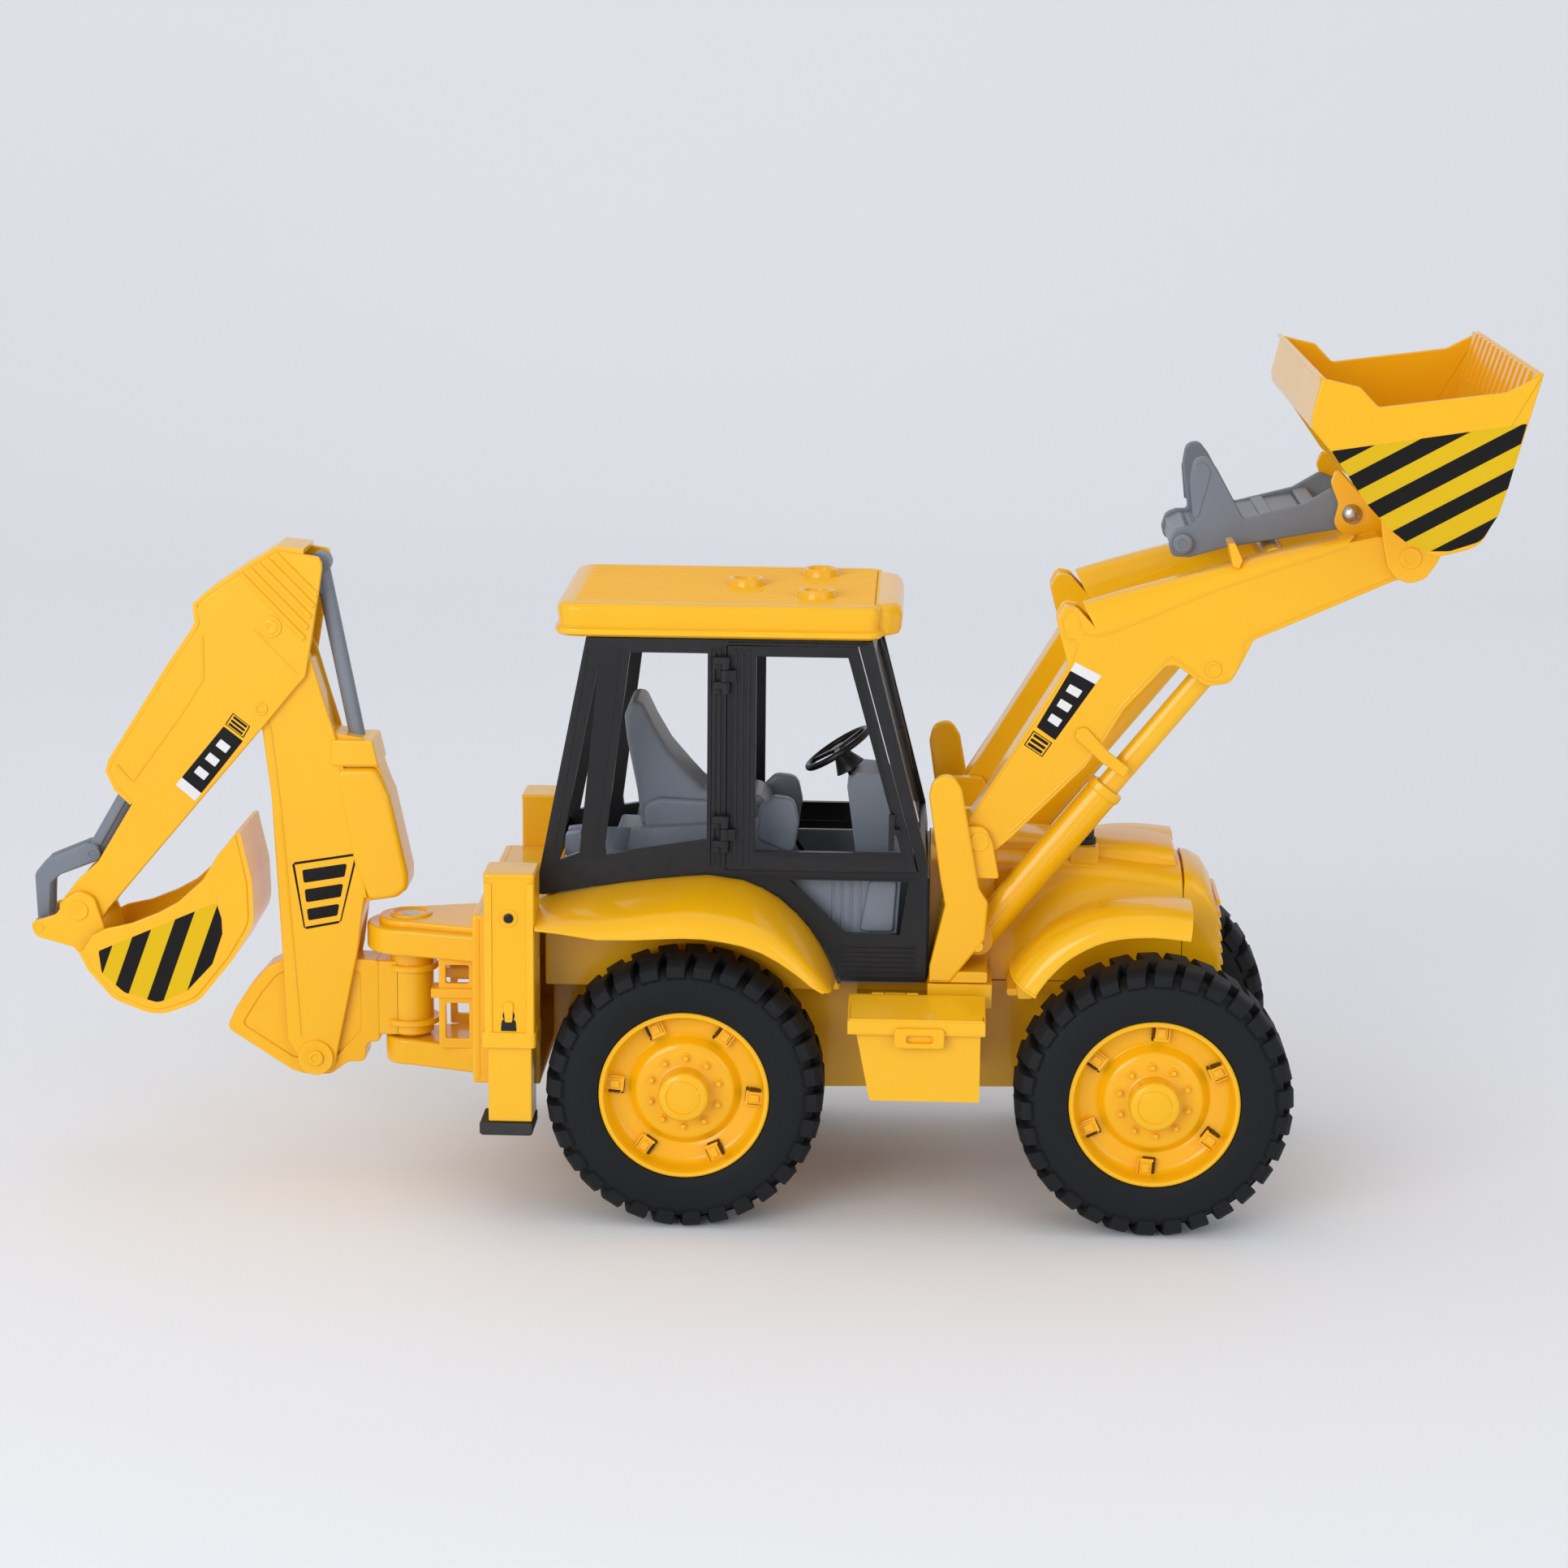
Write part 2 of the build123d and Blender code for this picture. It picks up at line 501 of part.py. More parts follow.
# Loader arm: a channel open underneath, with the lift cylinder inside, bent over the front wheel
arm_side = [
    (119, 172), (123, 181), (161.5, 244), (158, 255), (156.5, 262), (160, 268), (166.5, 268.5),
    (190, 277), (275, 300.6), (290, 301.6), (300, 299.6), (308, 299.4), (312.6, 295), (313, 290),
    (310, 285.6), (304, 283), (299.5, 282.5), (246, 257.7), (234, 252.6), (231, 240), (223.7, 235),
    (216, 238), (212, 243.4), (206, 244.7), (183.3, 223), (177.8, 210), (172, 202.5), (138, 167),
    (133, 162), (125.3, 159), (118, 164),
]
hook_side = [
    (165.6, 212.6), (167.2, 217), (171.8, 215.4), (180, 205.6), (188.8, 198.4), (186.4, 195),
    (177.4, 201.4),
]
with BuildPart() as arm:
    plate(arm_side, arm_inner_y, arm_outer_y)
    channel = [
        (127, 176), (165.5, 240), (180, 256), (192, 262), (272, 285), (290, 288), (300, 270),
        (180, 150), (100, 140),
    ]
    plate(channel, arm_inner_y + 2.6, arm_outer_y - 2.6, mode=Mode.SUBTRACT)
    arm_crown = arm.edges().filter_by(lambda e: abs(e.center().X - (rear_axle_x + 232)) < 3
        and e.center().Z > 280)
    chamfer(arm_crown, 3)
    plate([(196, 279), (200, 280), (203, 274), (199, 273)], arm_inner_y, arm_outer_y + 0.7)
    cross_bar(arm_pivot, 30, 60, 3.5 + running_gap, mode=Mode.SUBTRACT)
    cross_bar(bucket_pivot, 30, 60, 3.5 + running_gap, mode=Mode.SUBTRACT)
    cross_bar(lift_eye, arm_outer_y - 1, arm_outer_y + 0.8, 3.2)
    plate(hook_side, arm_outer_y - 0.5, arm_outer_y + 2.1, rounding=1.2)
    cross_bar((250, 287.6), 30, 40.5, 6.1, mode=Mode.SUBTRACT)
save(arm.part, "loader_arm_left")
save(arm.part.mirror(Plane.XZ), "loader_arm_right")

with BuildPart() as arm_tie:
    cross_bar((250, 287.6), -38.4, 38.4, 6)
save(arm_tie.part, "arm_cross_tube")

barrel_size = (11.4, 15)
barrel_length = 88
lift_rod_size = (7.4, 10.6)


def lift_section(start, end, size, mode=Mode.ADD):
    """A rounded bar along the lift cylinder: size is across the vehicle, then in the side view."""
    run = (lift_eye[0] - lift_foot[0], 0, lift_eye[1] - lift_foot[1])
    at = along(lift_foot, lift_eye, start)
    across_cylinder = Plane(origin=(rear_axle_x + at[0], -arm_mid_y, at[1]), x_dir=(0, 1, 0), z_dir=run)
    with BuildSketch(across_cylinder) as face:
        RectangleRounded(size[0], size[1], size[0] * 0.48)
    extrude(to_extrude=face.sketch, amount=end - start, mode=mode)


lift_bore = (lift_rod_size[0] + 2 * running_gap, lift_rod_size[1] + 2 * running_gap)
with BuildPart() as lift_barrel:
    lift_section(0, barrel_length, barrel_size)
    lift_section(barrel_length - 4, barrel_length, (11.7, 16.4))
    cross_bar(lift_foot, -arm_mid_y - 5.7, -arm_mid_y + 5.7, 7)
    lift_section(9, barrel_length + 5, lift_bore, mode=Mode.SUBTRACT)
    cross_bar(lift_foot, -60, -30, 2.5 + running_gap, mode=Mode.SUBTRACT)
save_pair(lift_barrel.part, "lift_cylinder_barrel")

with BuildPart() as lift_rod:
    lift_section(62, math.dist(lift_foot, lift_eye), lift_rod_size)
    cross_bar(lift_eye, -arm_mid_y - 5.4, -arm_mid_y + 5.4, 5)
save_pair(lift_rod.part, "lift_cylinder_rod")

# Loader bucket: bent floor and back between two side plates, ears at the back for arms and link
bucket_side = [(257.2, 355.2), (260.9, 372.5), (276.9, 369), (284.4, 360.3), (336.8, 367.4), (351.5, 375.7)]
bucket_low = [
    (345.6, 354.5), (338.2, 325.6), (332.7, 312.4), (325, 304.8), (314.5, 301.2), (299.9, 302.9),
    (287.2, 314), (257.7, 351.2),
]
bucket_half = 94
with BuildPart() as loader_bucket:
    plate([(260.9, 372.5), (351.5, 375.7)] + bucket_low + [(257.2, 355.2)], -bucket_half, bucket_half)
    inner_plate([(264, 420), (363, 420), (351.5, 375.7)] + bucket_low + [(257.2, 355.2), (260.9, 372.5)],
        2.6, -91.4, 91.4)
    both(plate, 91.4, bucket_half + 1, [(260.9, 400), (260.9, 372.5), (276.9, 369), (284.4, 360.3),
        (336.8, 367.4), (351.5, 375.7), (351.5, 400)], mode=Mode.SUBTRACT)
    for tooth in range(13):
        y = -78 + tooth * 13
        plate([(351.5, 375.7), (345.6, 354.5), (341.6, 356), (347.6, 375.6)], y - 3, y + 3)
    ear = [
        (275, 328), (273, 322), (276.5, 312), (275, 305), (279, 299.6), (286, 299.4), (293, 300),
        (296, 290),
    ]
    both(plate, 29.8, 33.4, ear + [(299, 284.5), (305, 282.6), (311, 284.5), (315, 291), (318, 303),
        (290, 312)])
    outer_ear = [(292, 310), (295, 290), (299, 284.5), (305, 282.6), (311, 284.5), (316, 291), (321, 303.6)]
    both(plate, 54.2, 57.8, outer_ear)
    for side in (-1, 1):
        cross_bar(bucket_pivot, *sorted((side * 30, side * 58.2)), 3.5)
        cross_bar(tilt_pin_at, *sorted((side * 28, side * 35)), 2.85, mode=Mode.SUBTRACT)
save(loader_bucket.part, "loader_bucket")

with BuildPart() as tilt_pin:
    cross_bar(tilt_pin_at, -33.6, 33.6, 2.8)
    both(cross_bar, 33.6, 35.2, tilt_pin_at, radius=3.9)
save(tilt_pin.part, "tilt_link_pin")

# Tilt link: a grey frame with two finger ears, hung on the bucket pin and lying over the cross tube
link_side = [
    (205, 293.6), (206.5, 298), (210, 300), (216, 300), (213.4, 322), (215, 329), (219, 331),
    (223.5, 328), (237, 304), (243, 312.6), (273, 319), (281, 315), (286.4, 311), (288, 306),
    (286, 301), (276, 300.6), (229, 291.8), (214, 288.6), (208, 288.6),
]
with BuildPart() as tilt_link:
    plate(link_side, -29, 29)
    plate([(200, 330), (240, 340), (240, 304), (229, 303.5), (217, 300.4), (200, 301)],
        -25, 25, mode=Mode.SUBTRACT)
    plate([(236, 330), (262, 330), (264, 305.5), (240, 303)], -25, 25, mode=Mode.SUBTRACT)
    plate([(268, 330), (295, 330), (295, 295), (276, 295), (270, 303)], -21, 21, mode=Mode.SUBTRACT)
    plate([(200, 296), (219, 299), (240, 301.6), (268, 303), (274, 303), (270, 280), (200, 280)],
        -25, 25, mode=Mode.SUBTRACT)
    cross_bar(tilt_pin_at, -40, 40, 2.8 + running_gap, mode=Mode.SUBTRACT)
    both(cross_bar, 29, 32.6, (210.6, 293.7), radius=4)
save(tilt_link.part, "bucket_tilt_link")

# Toolbox below the right of the cab with a hinged lid
with BuildPart() as toolbox:
    plate(box_side, -88.5, -30.4)
    plate(box_bay, -86.1, -64.8, mode=Mode.SUBTRACT)
    plate(box_core, -62, -33, mode=Mode.SUBTRACT)
    block((75, 102.5), (-64.6, -62.4), (90, 95.4))
    for low in (80, 95):
        lid_bar(low, 5, 1.8)
        across([(-62.6, 94), (-62.6, 98.6), (-64.6, 98.6), (-64.6, 94)], low, low + 5)
        lid_bar(low - 1, 7, 1.05, mode=Mode.SUBTRACT)
save(toolbox.part, "toolbox")

with BuildPart() as lid:
    across([(-67, 98), (-67, 100), (-70.6, 100), (-91.6, 94.6), (-91.6, 88.6), (-89.2, 88.6),
        (-89.2, 92.6), (-70, 97.6)], 70, 129)
    for low in (70, 127.6):
        across([(-67, 99.6), (-70, 99.6), (-91.6, 94), (-91.6, 92.4), (-67, 92.4)], low, low + 1.4)
    lid_bar(85.5, 9, 1.8)
    across([(-64.4, 97.6), (-64.4, 99.8), (-68, 99.8), (-68, 97.6)], 85.5, 94.5)
    lid_bar(80, 20, 1.05, mode=Mode.SUBTRACT)
    block((90.6, 111), (-92.8, -90.4), (83.4, 91))
    block((95, 107), (-94, -91.6), (85.4, 88.6), mode=Mode.SUBTRACT)
save(lid.part, "toolbox_lid")

with BuildPart() as hinge_pins:
    lid_bar(80, 20, 1)
    for side in (-1, 1):
        for low in (159, 229):
            post(door_hinge[0], side * door_hinge[1], low, low + 15.8, 1)
save(hinge_pins.part, "hinge_pins")

# Rear frame: two nosed plates for the swing post, webs with windows and a cross beam
nose_radius = 20
with BuildPart() as rear_frame:
    flat([(swing_axis_x, -nose_radius), (-94, -30), (-94, 30), (swing_axis_x, nose_radius)], 100, 112)
    post(swing_axis_x, 0, 100, 112, nose_radius)
    flat([(swing_axis_x + 2, -15), (-94, -25), (-94, 25), (swing_axis_x + 2, 15)], 111, 115)
    flat([(swing_axis_x, -11), (-94, -25), (-94, 25), (swing_axis_x, 11)], 47, 59)
    post(swing_axis_x, 0, 47, 59, 11)
    both(plate, 19, 22, [(-115, 101), (-115, 58), (-92, 58), (-92, 101)])
    both(plate, 10, 30, [(-111.6, 97), (-111.6, 89), (-101, 89), (-101, 97)], mode=Mode.SUBTRACT)
    both(plate, 10, 30, [(-111.6, 79), (-111.6, 63), (-101, 63), (-101, 79)], mode=Mode.SUBTRACT)
    flat([(-117, -22), (-92, -27), (-92, 27), (-117, 22)], 82.6, 85.4)
    post(swing_axis_x, 0, 80, 90, 15, mode=Mode.SUBTRACT)
    block((-94, -64.4), (-67.6, 67.6), (56, 132))
    block((-90, -60), (-64.6, 64.6), (59, 129), mode=Mode.SUBTRACT)
    block((-67, -64.4), (-44, 44), (59, 97))
    post(swing_axis_x, 0, 40, 120, 4.05, mode=Mode.SUBTRACT)
    for x in (-112, -104):
        post(x, -8, 108, 120, 1.4, mode=Mode.SUBTRACT)
    for side in (-1, 1):
        outer = sorted((side * 67, side * 90))
        block((-86.3, -64.4), outer, (80, 156))
        block((-87.3, -63.9), sorted((side * 67, side * 91)), (79, 86))
        block((-85.1, -65.6), sorted((side * 69.2, side * 88.8)), (70, 153.6), mode=Mode.SUBTRACT)
        block((-77.6, -73.2), sorted((side * 89.6, side * 90.4)), (133, 153), mode=Mode.SUBTRACT)
        cross_bar((-75.4, 136.6), *sorted((side * 88, side * 92)), 1.4, mode=Mode.SUBTRACT)
        cross_bar((-75.7, 91), *sorted((side * 88, side * 92)), 2.4, mode=Mode.SUBTRACT)
        block((-78.7, -72.7), sorted((side * 88, side * 92)), (86.6, 89.6), mode=Mode.SUBTRACT)
save(rear_frame.part, "rear_frame")

with BuildPart() as king_pin:
    post(swing_axis_x, 0, 47.2, 115.4, 4)
save(king_pin.part, "swing_king_pin")

# Stabilizers: legs sliding in the frame's end sleeves, with rubber feet
with BuildPart() as leg:
    block((-84.8, -65.9), (-88.5, -69.5), (45.4, 140))
    block((-82.8, -67.9), (-86.5, -71.5), (48, 141), mode=Mode.SUBTRACT)
save_pair(leg.part, "stabilizer_leg")

with BuildPart() as foot:
    block((-88.6, -65.6), (-90, -68), (39.3, 45.2))
    chamfer(foot.edges().group_by(Axis.Z)[0], 1)
save_pair(foot.part, "stabilizer_foot")

with BuildPart() as sleeve_screws:
    for side in (-1, 1):
        cross_bar((-75.4, 136.6), *sorted((side * 89.65, side * 90.6)), 2.1)
        cross_bar((-75.4, 136.6), *sorted((side * 88.9, side * 89.8)), 1.3)
        cross_bar((-75.4, 136.6), *sorted((side * 90.1, side * 91)), 1, mode=Mode.SUBTRACT)
save(sleeve_screws.part, "stabilizer_screws")

# Swing bracket: post barrel, block, and a fan plate that carries the boom foot
fan = [
    (-143.4, 95), (-186, 96.4), (-194, 91), (-202, 82), (-209, 71), (-213.4, 62), (-184, 43),
    (-178, 41), (-166, 41), (-158, 47), (-150, 47), (-150, 56.6), (-143.4, 56.6),
]
with BuildPart() as bracket:
    post(swing_axis_x, 0, 59.6, 99.6, 9.8)
    post(swing_axis_x, 0, 65, 67.6, 13)
    block((-156, -130), (-8.4, 8.4), (60, 95))
    plate(fan, -8.4, 8.4)
    plate([(-160, 88), (-182, 92), (-196, 80), (-205, 66), (-184, 50)], 2, 12, mode=Mode.SUBTRACT)
    plate([(-160, 88), (-182, 92), (-196, 80), (-205, 66), (-184, 50)], -12, -2, mode=Mode.SUBTRACT)
    post(swing_axis_x, 0, 50, 110, 4 + running_gap, mode=Mode.SUBTRACT)
    cross_bar(boom_pivot, -20, 20, 3 + running_gap, mode=Mode.SUBTRACT)
save(bracket.part, "swing_bracket")

# Boom: a hollow beam astride the fan plate, with the dipper cylinder casing moulded on its front
boom_side = [
    (-181, 51), (-184.8, 56), (-186.4, 96.5), (-190.2, 171), (-193.7, 200.6), (-197, 244), (-195, 254),
    (-188.5, 257), (-181, 254), (-172, 236), (-166, 215), (-162, 201.6), (-163.7, 199.6),
    (-144.2, 198.3), (-141, 185), (-135.8, 171.6), (-128.2, 135.5), (-128.9, 128), (-133, 123.8),
    (-147.8, 121), (-152.4, 99.5), (-162.4, 52), (-163.5, 47), (-167, 43), (-172, 41.4),
    (-177.5, 43.4),
]
with BuildPart() as boom:
    plate(boom_side, -11.8, 11.8)
    inner_plate(boom_side, 2.6, -8.8, 8.8)
    cross_bar(boom_pivot, -8.8, 8.8, 51, mode=Mode.SUBTRACT)
    block((-161, -147), (-6, 6), (185, 210), mode=Mode.SUBTRACT)
    both(cross_bar, 11.8, 13.6, boom_pivot, radius=8.4)
    both(plate, 11.8, 12.1, [(-146, 196), (-131, 137), (-131, 128), (-145, 124), (-144, 150)])
    cross_bar(boom_pivot, -20, 20, 3.02, mode=Mode.SUBTRACT)
    cross_bar(dipper_pivot, -20, 20, 3.02, mode=Mode.SUBTRACT)
save(boom.part, "boom")

with BuildPart() as boom_pins:
    cross_bar(boom_pivot, -14.2, 14.2, 3)
    cross_bar(dipper_pivot, -15.8, 15.8, 3)
save(boom_pins.part, "boom_pins")

# Dipper: straddles the boom head, open towards the boom, with ribs across the head
dipper_side = [
    (-184.4, 282), (-165.6, 279), (-165, 276), (-166.6, 265), (-169.8, 246), (-173.6, 225),
    (-177.4, 221), (-191.6, 204), (-226.4, 163), (-264.3, 118), (-268, 112), (-274, 109.4),
    (-281, 110), (-286, 114), (-286.8, 119.5), (-277.3, 131.8), (-268.5, 139.7), (-251.8, 167.6),
    (-258.5, 173.8), (-261.9, 181.7), (-260.7, 185.4), (-232.9, 229.5), (-222.8, 243.9),
    (-220.1, 248.7), (-221.3, 256.8), (-216.3, 261.1), (-201.8, 271.1),
]
with BuildPart() as dipper:
    plate(dipper_side, -14.8, 14.8)
    inner_plate(dipper_side, 2.2, -12.2, 12.2)
    plate([(-150, 264), (-171, 264), (-176, 240), (-210, 187), (-190, 170), (-150, 190)],
        -12.2, 12.2, mode=Mode.SUBTRACT)
    plate([(-150, 292), (-178, 292), (-178, 266), (-150, 250)], -5, 5, mode=Mode.SUBTRACT)
    plate([(-262, 178), (-251, 182), (-246, 166), (-262, 137), (-276, 148)], -5, 5, mode=Mode.SUBTRACT)
    plate([(-290, 118), (-262, 148), (-258, 140), (-268, 126), (-284, 100)],
        -12.2, 12.2, mode=Mode.SUBTRACT)
    for rib in range(5):
        top = along((-212, 264), (-184, 280), rib * 6.6)
        low = along((-178, 236), (-168, 262), rib * 5.6)
        both(plate, 14.8, 15.4, [top, (top[0] + 2.4, top[1] + 1.2), (low[0] + 0.8, low[1] + 2.6), low])
    both(cross_bar, 14.8, 15.5, dipper_pivot, radius=4.4)
    cross_bar(dipper_pivot, -20, 20, 3 + running_gap, mode=Mode.SUBTRACT)
    cross_bar((-193.4, 211), -20, 20, 1.8, mode=Mode.SUBTRACT)
    cross_bar(scoop_pivot, -20, 20, 2.8 + running_gap, mode=Mode.SUBTRACT)
    cross_bar(ram_eye, -13.6, 13.6, 1.6)
save(dipper.part, "dipper_arm")

with BuildPart() as ram_rod:
    rod(ram_eye, along(ram_eye, ram_guide, 113), 0, 3.6)
    cross_bar(ram_eye, -4.4, 4.4, 4.8)
    cross_bar(ram_eye, -9, 9, 1.6 + running_gap, mode=Mode.SUBTRACT)
save(ram_rod.part, "dipper_ram_rod")

# Scoop linkage: a rod sliding in the dipper and a bent link down to the scoop ears
slide_top = (link_joint[0] + 0.503 * 54, link_joint[1] + 0.864 * 54)
with BuildPart() as slider:
    rod(along(link_joint, slide_top, 1), slide_top, 0, 3.2)
    cross_bar(link_joint, -3.4, 3.4, 4)
    cross_bar(link_joint, -7.4, 7.4, 1.6)
save(slider.part, "scoop_slider_rod")

bent_link = [
    (-298, 110), (-298.6, 132), (-294, 138), (-274, 146), (-270, 145), (-268.6, 141), (-271, 138),
    (-288, 131.6), (-291.6, 128), (-292.6, 110), (-295.3, 107),
]
with BuildPart() as scoop_link:
    both(plate, 3.8, 7.2, bent_link)
    cross_bar(link_end, -14.8, 14.8, 3)
    cross_bar(link_joint, -10, 10, 1.6 + running_gap, mode=Mode.SUBTRACT)
save(scoop_link.part, "scoop_link")

scoop_low = [
    (-274.4, 101), (-270.8, 93.3), (-260, 80.5), (-251, 75.4), (-241.4, 73.7), (-231, 75.6),
    (-222.5, 81.2), (-208.8, 99), (-200.4, 113), (-199.8, 124), (-201, 137), (-204.6, 155.8),
]
scoop_top = [(-214.3, 144), (-223, 131), (-231, 124), (-240, 119), (-252, 114), (-264, 111), (-270, 108)]
with BuildPart() as scoop:
    plate(scoop_low + scoop_top, -24, 24)
    inner_plate([(-274.4, 101), (-290, 160), (-215, 190), (-204.6, 155.8)] + scoop_low[-2:0:-1],
        2.2, -21.8, 21.8)
    for tooth in range(4):
        y = -18 + tooth * 12
        plate([(-204.6, 155.8), (-201, 137), (-200, 128), (-198.8, 137), (-203, 156)], y - 2.6, y + 2.6)
    ears = [
        (-299, 112), (-297, 106), (-280, 101), (-272, 92), (-262, 96), (-266, 112), (-270, 124),
        (-277, 127), (-283, 123),
    ]
    both(plate, 15.2, 18.2, ears + [(-287, 116)])
    both(cross_bar, 18.2, 18.8, scoop_pivot, radius=4.2)
    cross_bar(scoop_pivot, -30, 30, 2.85, mode=Mode.SUBTRACT)
save(scoop.part, "backhoe_scoop")

with BuildPart() as scoop_pin:
    cross_bar(scoop_pivot, -18.6, 18.6, 2.8)
save(scoop_pin.part, "scoop_pivot_pin")
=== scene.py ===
import json
import math

import bmesh
import bpy
from mathutils import Matrix, Vector
from mathutils.geometry import tessellate_polygon


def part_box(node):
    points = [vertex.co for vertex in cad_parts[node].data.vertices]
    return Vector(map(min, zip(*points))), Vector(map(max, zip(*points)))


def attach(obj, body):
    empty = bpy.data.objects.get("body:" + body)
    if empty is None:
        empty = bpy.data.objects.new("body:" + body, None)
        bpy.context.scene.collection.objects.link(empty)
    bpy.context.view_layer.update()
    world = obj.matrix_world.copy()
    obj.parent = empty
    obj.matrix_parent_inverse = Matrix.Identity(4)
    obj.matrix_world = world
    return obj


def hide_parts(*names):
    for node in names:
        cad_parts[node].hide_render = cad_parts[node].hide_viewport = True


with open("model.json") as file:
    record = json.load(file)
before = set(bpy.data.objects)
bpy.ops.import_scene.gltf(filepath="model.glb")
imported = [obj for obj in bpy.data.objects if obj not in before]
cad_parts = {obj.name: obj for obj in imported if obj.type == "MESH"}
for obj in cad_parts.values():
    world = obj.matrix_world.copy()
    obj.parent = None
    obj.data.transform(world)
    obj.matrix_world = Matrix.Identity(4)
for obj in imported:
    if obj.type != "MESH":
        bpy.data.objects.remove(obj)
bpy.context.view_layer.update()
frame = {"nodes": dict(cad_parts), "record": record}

MM = 0.001
rear_low, rear_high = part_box("rear_rim_right")
AXLE_X = (rear_low.x + rear_high.x) / 2 / MM


# ---- materials
def new_material(name):
    mat = bpy.data.materials.new(name)
    mat.use_nodes = True
    tree = mat.node_tree
    return mat, tree, tree.nodes["Principled BSDF"]


def link(tree, a, a_out, b, b_in):
    tree.links.new(a.outputs[a_out], b.inputs[b_in])


def noise(tree, coords, scale, detail=3, rough=0.5):
    n = tree.nodes.new("ShaderNodeTexNoise")
    n.inputs["Scale"].default_value = scale
    n.inputs["Detail"].default_value = detail
    n.inputs["Roughness"].default_value = rough
    link(tree, coords, "Object", n, "Vector")
    return n


def ramp(tree, source, out, stops):
    r = tree.nodes.new("ShaderNodeValToRGB")
    while len(r.color_ramp.elements) < len(stops):
        r.color_ramp.elements.new(0.5)
    for e, (at, colour) in zip(r.color_ramp.elements, stops):
        e.position = at
        e.color = (*colour, 1)
    link(tree, source, out, r, "Fac")
    return r


def grey(v):
    return (v, v, v)


def moulded_plastic(name, base, dark, pale, gloss, grain=900, grain_depth=0.00006, wear=0.35, coat=0.0,
        spec=0.5):
    """Injection-moulded plastic: slow colour drift, a fine grain, gloss that varies, paler worn edges."""
    mat, tree, bsdf = new_material(name)
    coords = tree.nodes.new("ShaderNodeTexCoord")
    drift = noise(tree, coords, 9, 2)
    colour = ramp(tree, drift, "Fac", [(0.3, dark), (0.55, base), (0.8, base)])
    geometry = tree.nodes.new("ShaderNodeNewGeometry")
    edge = ramp(tree, geometry, "Pointiness", [(0.515, grey(0)), (0.56, grey(wear))])
    scuff = noise(tree, coords, 160, 4, 0.7)
    broken = tree.nodes.new("ShaderNodeMath")
    broken.operation = "MULTIPLY"
    link(tree, edge, "Color", broken, 0)
    link(tree, scuff, "Fac", broken, 1)
    mix = tree.nodes.new("ShaderNodeMix")
    mix.data_type = "RGBA"
    mix.inputs["B"].default_value = (*pale, 1)
    link(tree, broken, "Value", mix, "Factor")
    tree.links.new(colour.outputs["Color"], mix.inputs[6])
    tree.links.new(mix.outputs[2], bsdf.inputs["Base Color"])
    cloud = noise(tree, coords, 35, 3)
    low, high = gloss
    shine = tree.nodes.new("ShaderNodeMapRange")
    shine.inputs["To Min"].default_value = low
    shine.inputs["To Max"].default_value = high
    link(tree, cloud, "Fac", shine, "Value")
    link(tree, shine, "Result", bsdf, "Roughness")
    fine = noise(tree, coords, grain, 2, 0.6)
    bump = tree.nodes.new("ShaderNodeBump")
    bump.inputs["Strength"].default_value = 0.5
    bump.inputs["Distance"].default_value = grain_depth
    link(tree, fine, "Fac", bump, "Height")
    link(tree, bump, "Normal", bsdf, "Normal")
    bsdf.inputs["Specular IOR Level"].default_value = spec
    bsdf.inputs["Coat Weight"].default_value = coat
    bsdf.inputs["Coat Roughness"].default_value = 0.1
    return mat


YELLOW = moulded_plastic("YellowPlastic", (0.93, 0.48, 0.003), (0.90, 0.45, 0.002), (0.96, 0.60, 0.05),
    (0.24, 0.34), wear=0.3, coat=0.5, spec=0.2)
BLACK = moulded_plastic("BlackPlastic", (0.006, 0.006, 0.007), (0.004, 0.004, 0.005), (0.04, 0.04, 0.045),
    (0.26, 0.38), wear=0.35, spec=0.35)
GREY = moulded_plastic("GreyPlastic", (0.165, 0.19, 0.235), (0.15, 0.17, 0.21), (0.30, 0.33, 0.38),
    (0.34, 0.45), wear=0.5)
RUBBER = moulded_plastic("FootRubber", (0.02, 0.02, 0.021), (0.016, 0.016, 0.017), (0.05, 0.05, 0.05),
    (0.6, 0.75), 500, 0.00012)
TYRE = moulded_plastic("TyreRubber", (0.013, 0.014, 0.016), (0.010, 0.011, 0.012), (0.03, 0.031, 0.033),
    (0.56, 0.7), 420, 0.00018, wear=0.1, spec=0.14)

# Painted shade: the dark brown of the shade inside the openings beside the rim clips
SLOT_PAINTED_SHADE = moulded_plastic("SlotShade", (0.10, 0.035, 0.004), (0.07, 0.025, 0.003), (0.14, 0.05, 0.006),
    (0.5, 0.6), spec=0.2)


def metal(name, base):
    mat, tree, bsdf = new_material(name)
    coords = tree.nodes.new("ShaderNodeTexCoord")
    scratch = noise(tree, coords, 600, 3)
    shine = tree.nodes.new("ShaderNodeMapRange")
    shine.inputs["To Min"].default_value = 0.22
    shine.inputs["To Max"].default_value = 0.4
    link(tree, scratch, "Fac", shine, "Value")
    link(tree, shine, "Result", bsdf, "Roughness")
    colour = ramp(tree, scratch, "Fac", [(0.3, tuple(c * 0.85 for c in base)), (0.7, base)])
    link(tree, colour, "Color", bsdf, "Base Color")
    bsdf.inputs["Metallic"].default_value = 1
    return mat


STEEL = metal("PinSteel", (0.55, 0.55, 0.56))


